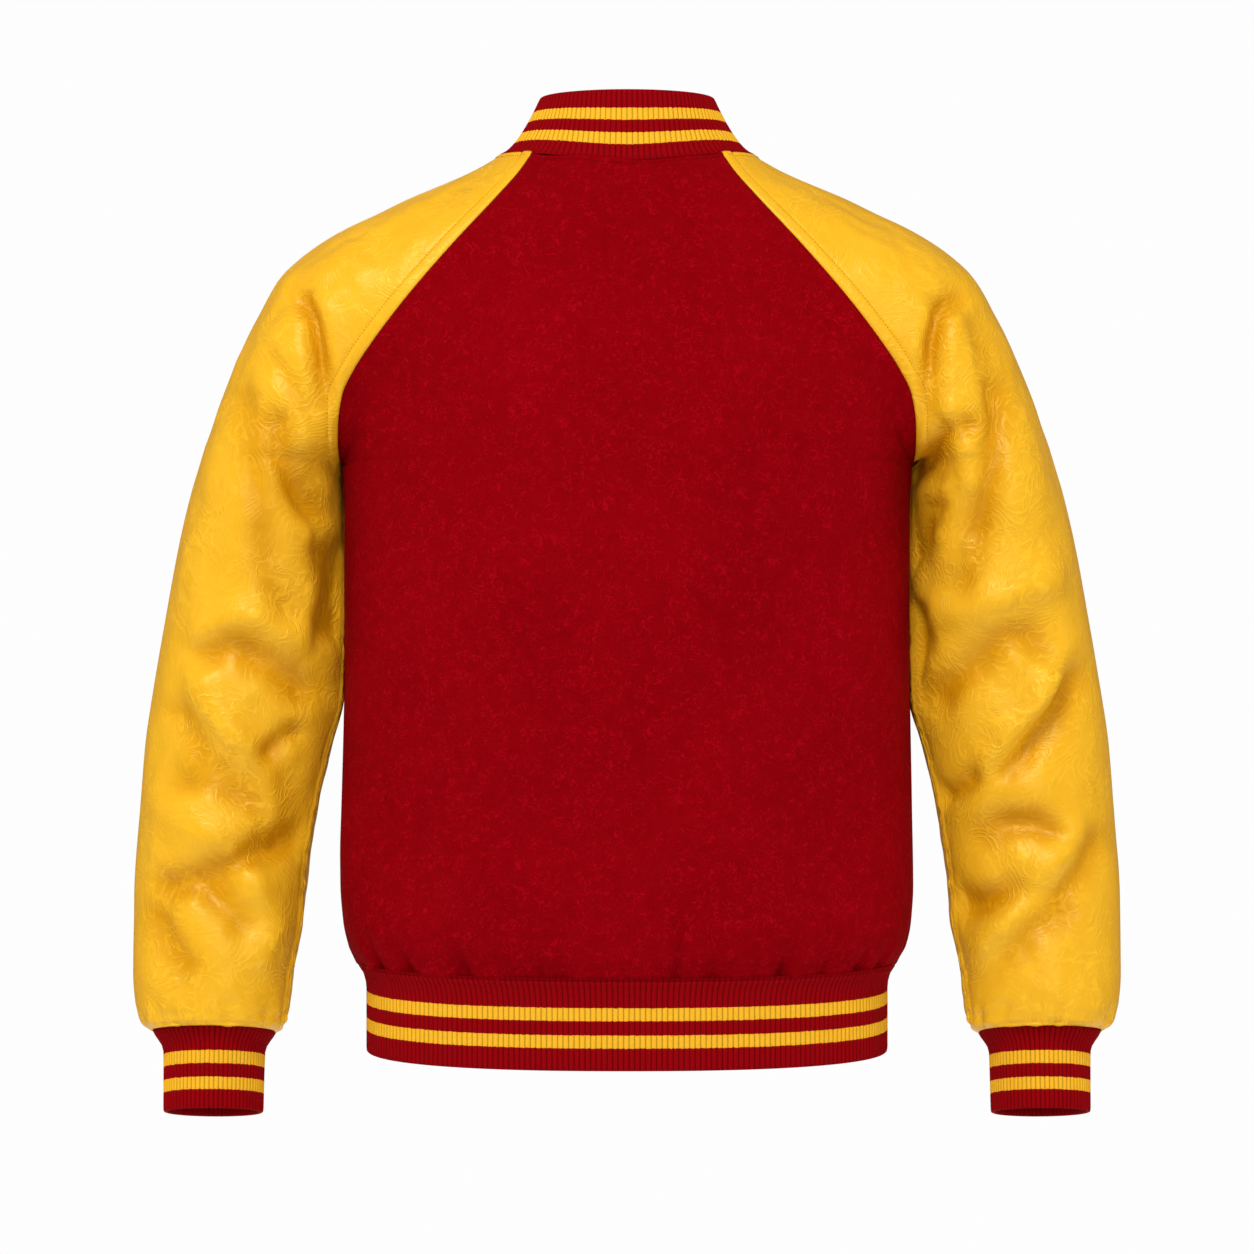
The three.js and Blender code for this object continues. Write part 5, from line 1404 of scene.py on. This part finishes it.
# %% Floor, camera and light
CAMERA_FAR, CAMERA_Z, LENS, SENSOR = 3.5, -0.3431, 137.6, 36
FLOOR_Z, FLOOR_RADIUS, FLOOR_SIDES = -1.45, 2.4, 96
bm = bmesh.new()
floor_place = Matrix.Translation((0, 0, FLOOR_Z))
bmesh.ops.create_circle(bm, cap_ends=True, segments=FLOOR_SIDES, radius=FLOOR_RADIUS, matrix=floor_place)
floor = to_piece(bm, "floor")
pale, tree, shader = material("pale_floor", {"Roughness": 0.9, "Base Color": (0.86, 0.86, 0.86, 1)})
floor.data.materials.append(pale)

camera_data = bpy.data.cameras.new("camera")
camera_data.lens, camera_data.sensor_width = LENS, SENSOR
camera = bpy.data.objects.new("camera", camera_data)
camera.location = (0, CAMERA_FAR, CAMERA_Z)
camera.rotation_euler = (math.pi / 2, 0, math.pi)
bpy.context.scene.collection.objects.link(camera)
bpy.context.scene.camera = camera

world = bpy.data.worlds.new("studio")
bpy.context.scene.world = world
world.use_nodes = True
sky = world.node_tree.nodes["Background"]
AMBIENT, BACKGROUND = (0.26, 0.2, 0.13, 1), (0.985, 0.985, 0.985, 1)
ray = world.node_tree.nodes.new("ShaderNodeLightPath")
seen_or_lit = mix_color(world.node_tree, ray.outputs["Is Camera Ray"], AMBIENT, BACKGROUND)
world.node_tree.links.new(seen_or_lit, sky.inputs["Color"])

AIM = Vector((0, 0, -0.35))
LIGHTS = table("name x y z size power mirrored", [
    ("key", 0.45, 2.3, 1.9, 1.2, 70, True), ("fill", -0.5, 3.0, 0.2, 1.6, 24, True),
    ("left_side", 2.4, 0.7, 0.1, 1.5, 20, False), ("right_side", -2.4, 0.7, 0.1, 1.5, 18, False),
    ("front_key", 0.5, -2.7, 0.9, 1.4, 56, False), ("front_fill", -0.9, -2.8, -0.3, 1.6, 26, False),
])
for light in LIGHTS:
    data = bpy.data.lights.new(light["name"], "AREA")
    data.energy, data.size = light["power"], light["size"]
    lamp = bpy.data.objects.new(light["name"], data)
    lamp.location = (light["x"], light["y"], light["z"])
    lamp.visible_glossy = light["mirrored"]
    lamp.rotation_euler = (AIM - lamp.location).to_track_quat("-Z", "Y").to_euler()
    bpy.context.scene.collection.objects.link(lamp)
bpy.context.scene.view_settings.view_transform = "Standard"
print("lights:", len(LIGHTS))

# %% [markdown]
# The cut of each cloth piece, in metres along the cloth: its width and its length as a rectangle,
# and its area, since the panels narrow toward the neck. A folded band is given as the one layer
# that shows. The wool and the leather hang from the collar, and the knit is stretched as it is sewn.

# %% Cut sizes
SLEEVE_LENGTH, BODY_LENGTH = 0.755, 0.665
SHEETS = table("piece width length area held hangs_from", [
    ("wool_back", 0.565, BODY_LENGTH, 0.283, "hung", ["collar"]),
    ("wool_front_left", 0.303, BODY_LENGTH, 0.141, "hung", ["collar"]),
    ("wool_front_right", 0.298, BODY_LENGTH, 0.141, "hung", ["collar"]),
    ("leather_sleeve_left_back", 0.227, SLEEVE_LENGTH, 0.125, "hung", ["collar"]),
    ("leather_sleeve_left_front", 0.256, SLEEVE_LENGTH, 0.131, "hung", ["collar"]),
    ("leather_sleeve_right_back", 0.231, SLEEVE_LENGTH, 0.126, "hung", ["collar"]),
    ("leather_sleeve_right_front", 0.248, SLEEVE_LENGTH, 0.131, "hung", ["collar"]),
    ("knit_hem_band", 1.196, 0.063, 0.0753, "stretched", ["back", "front_left", "front_right"]),
    ("knit_cuff_left", 0.27, 0.0595, 0.016, "stretched", ["sleeve_left_back", "sleeve_left_front"]),
    ("knit_cuff_right", 0.27, 0.0595, 0.016, "stretched", ["sleeve_right_back", "sleeve_right_front"]),
    ("knit_collar", 0.56, 0.05, 0.0275, "stretched", []),
])
for cut in SHEETS:
    piece = bpy.data.objects[cut["piece"]]
print("sheets:", len(SHEETS))
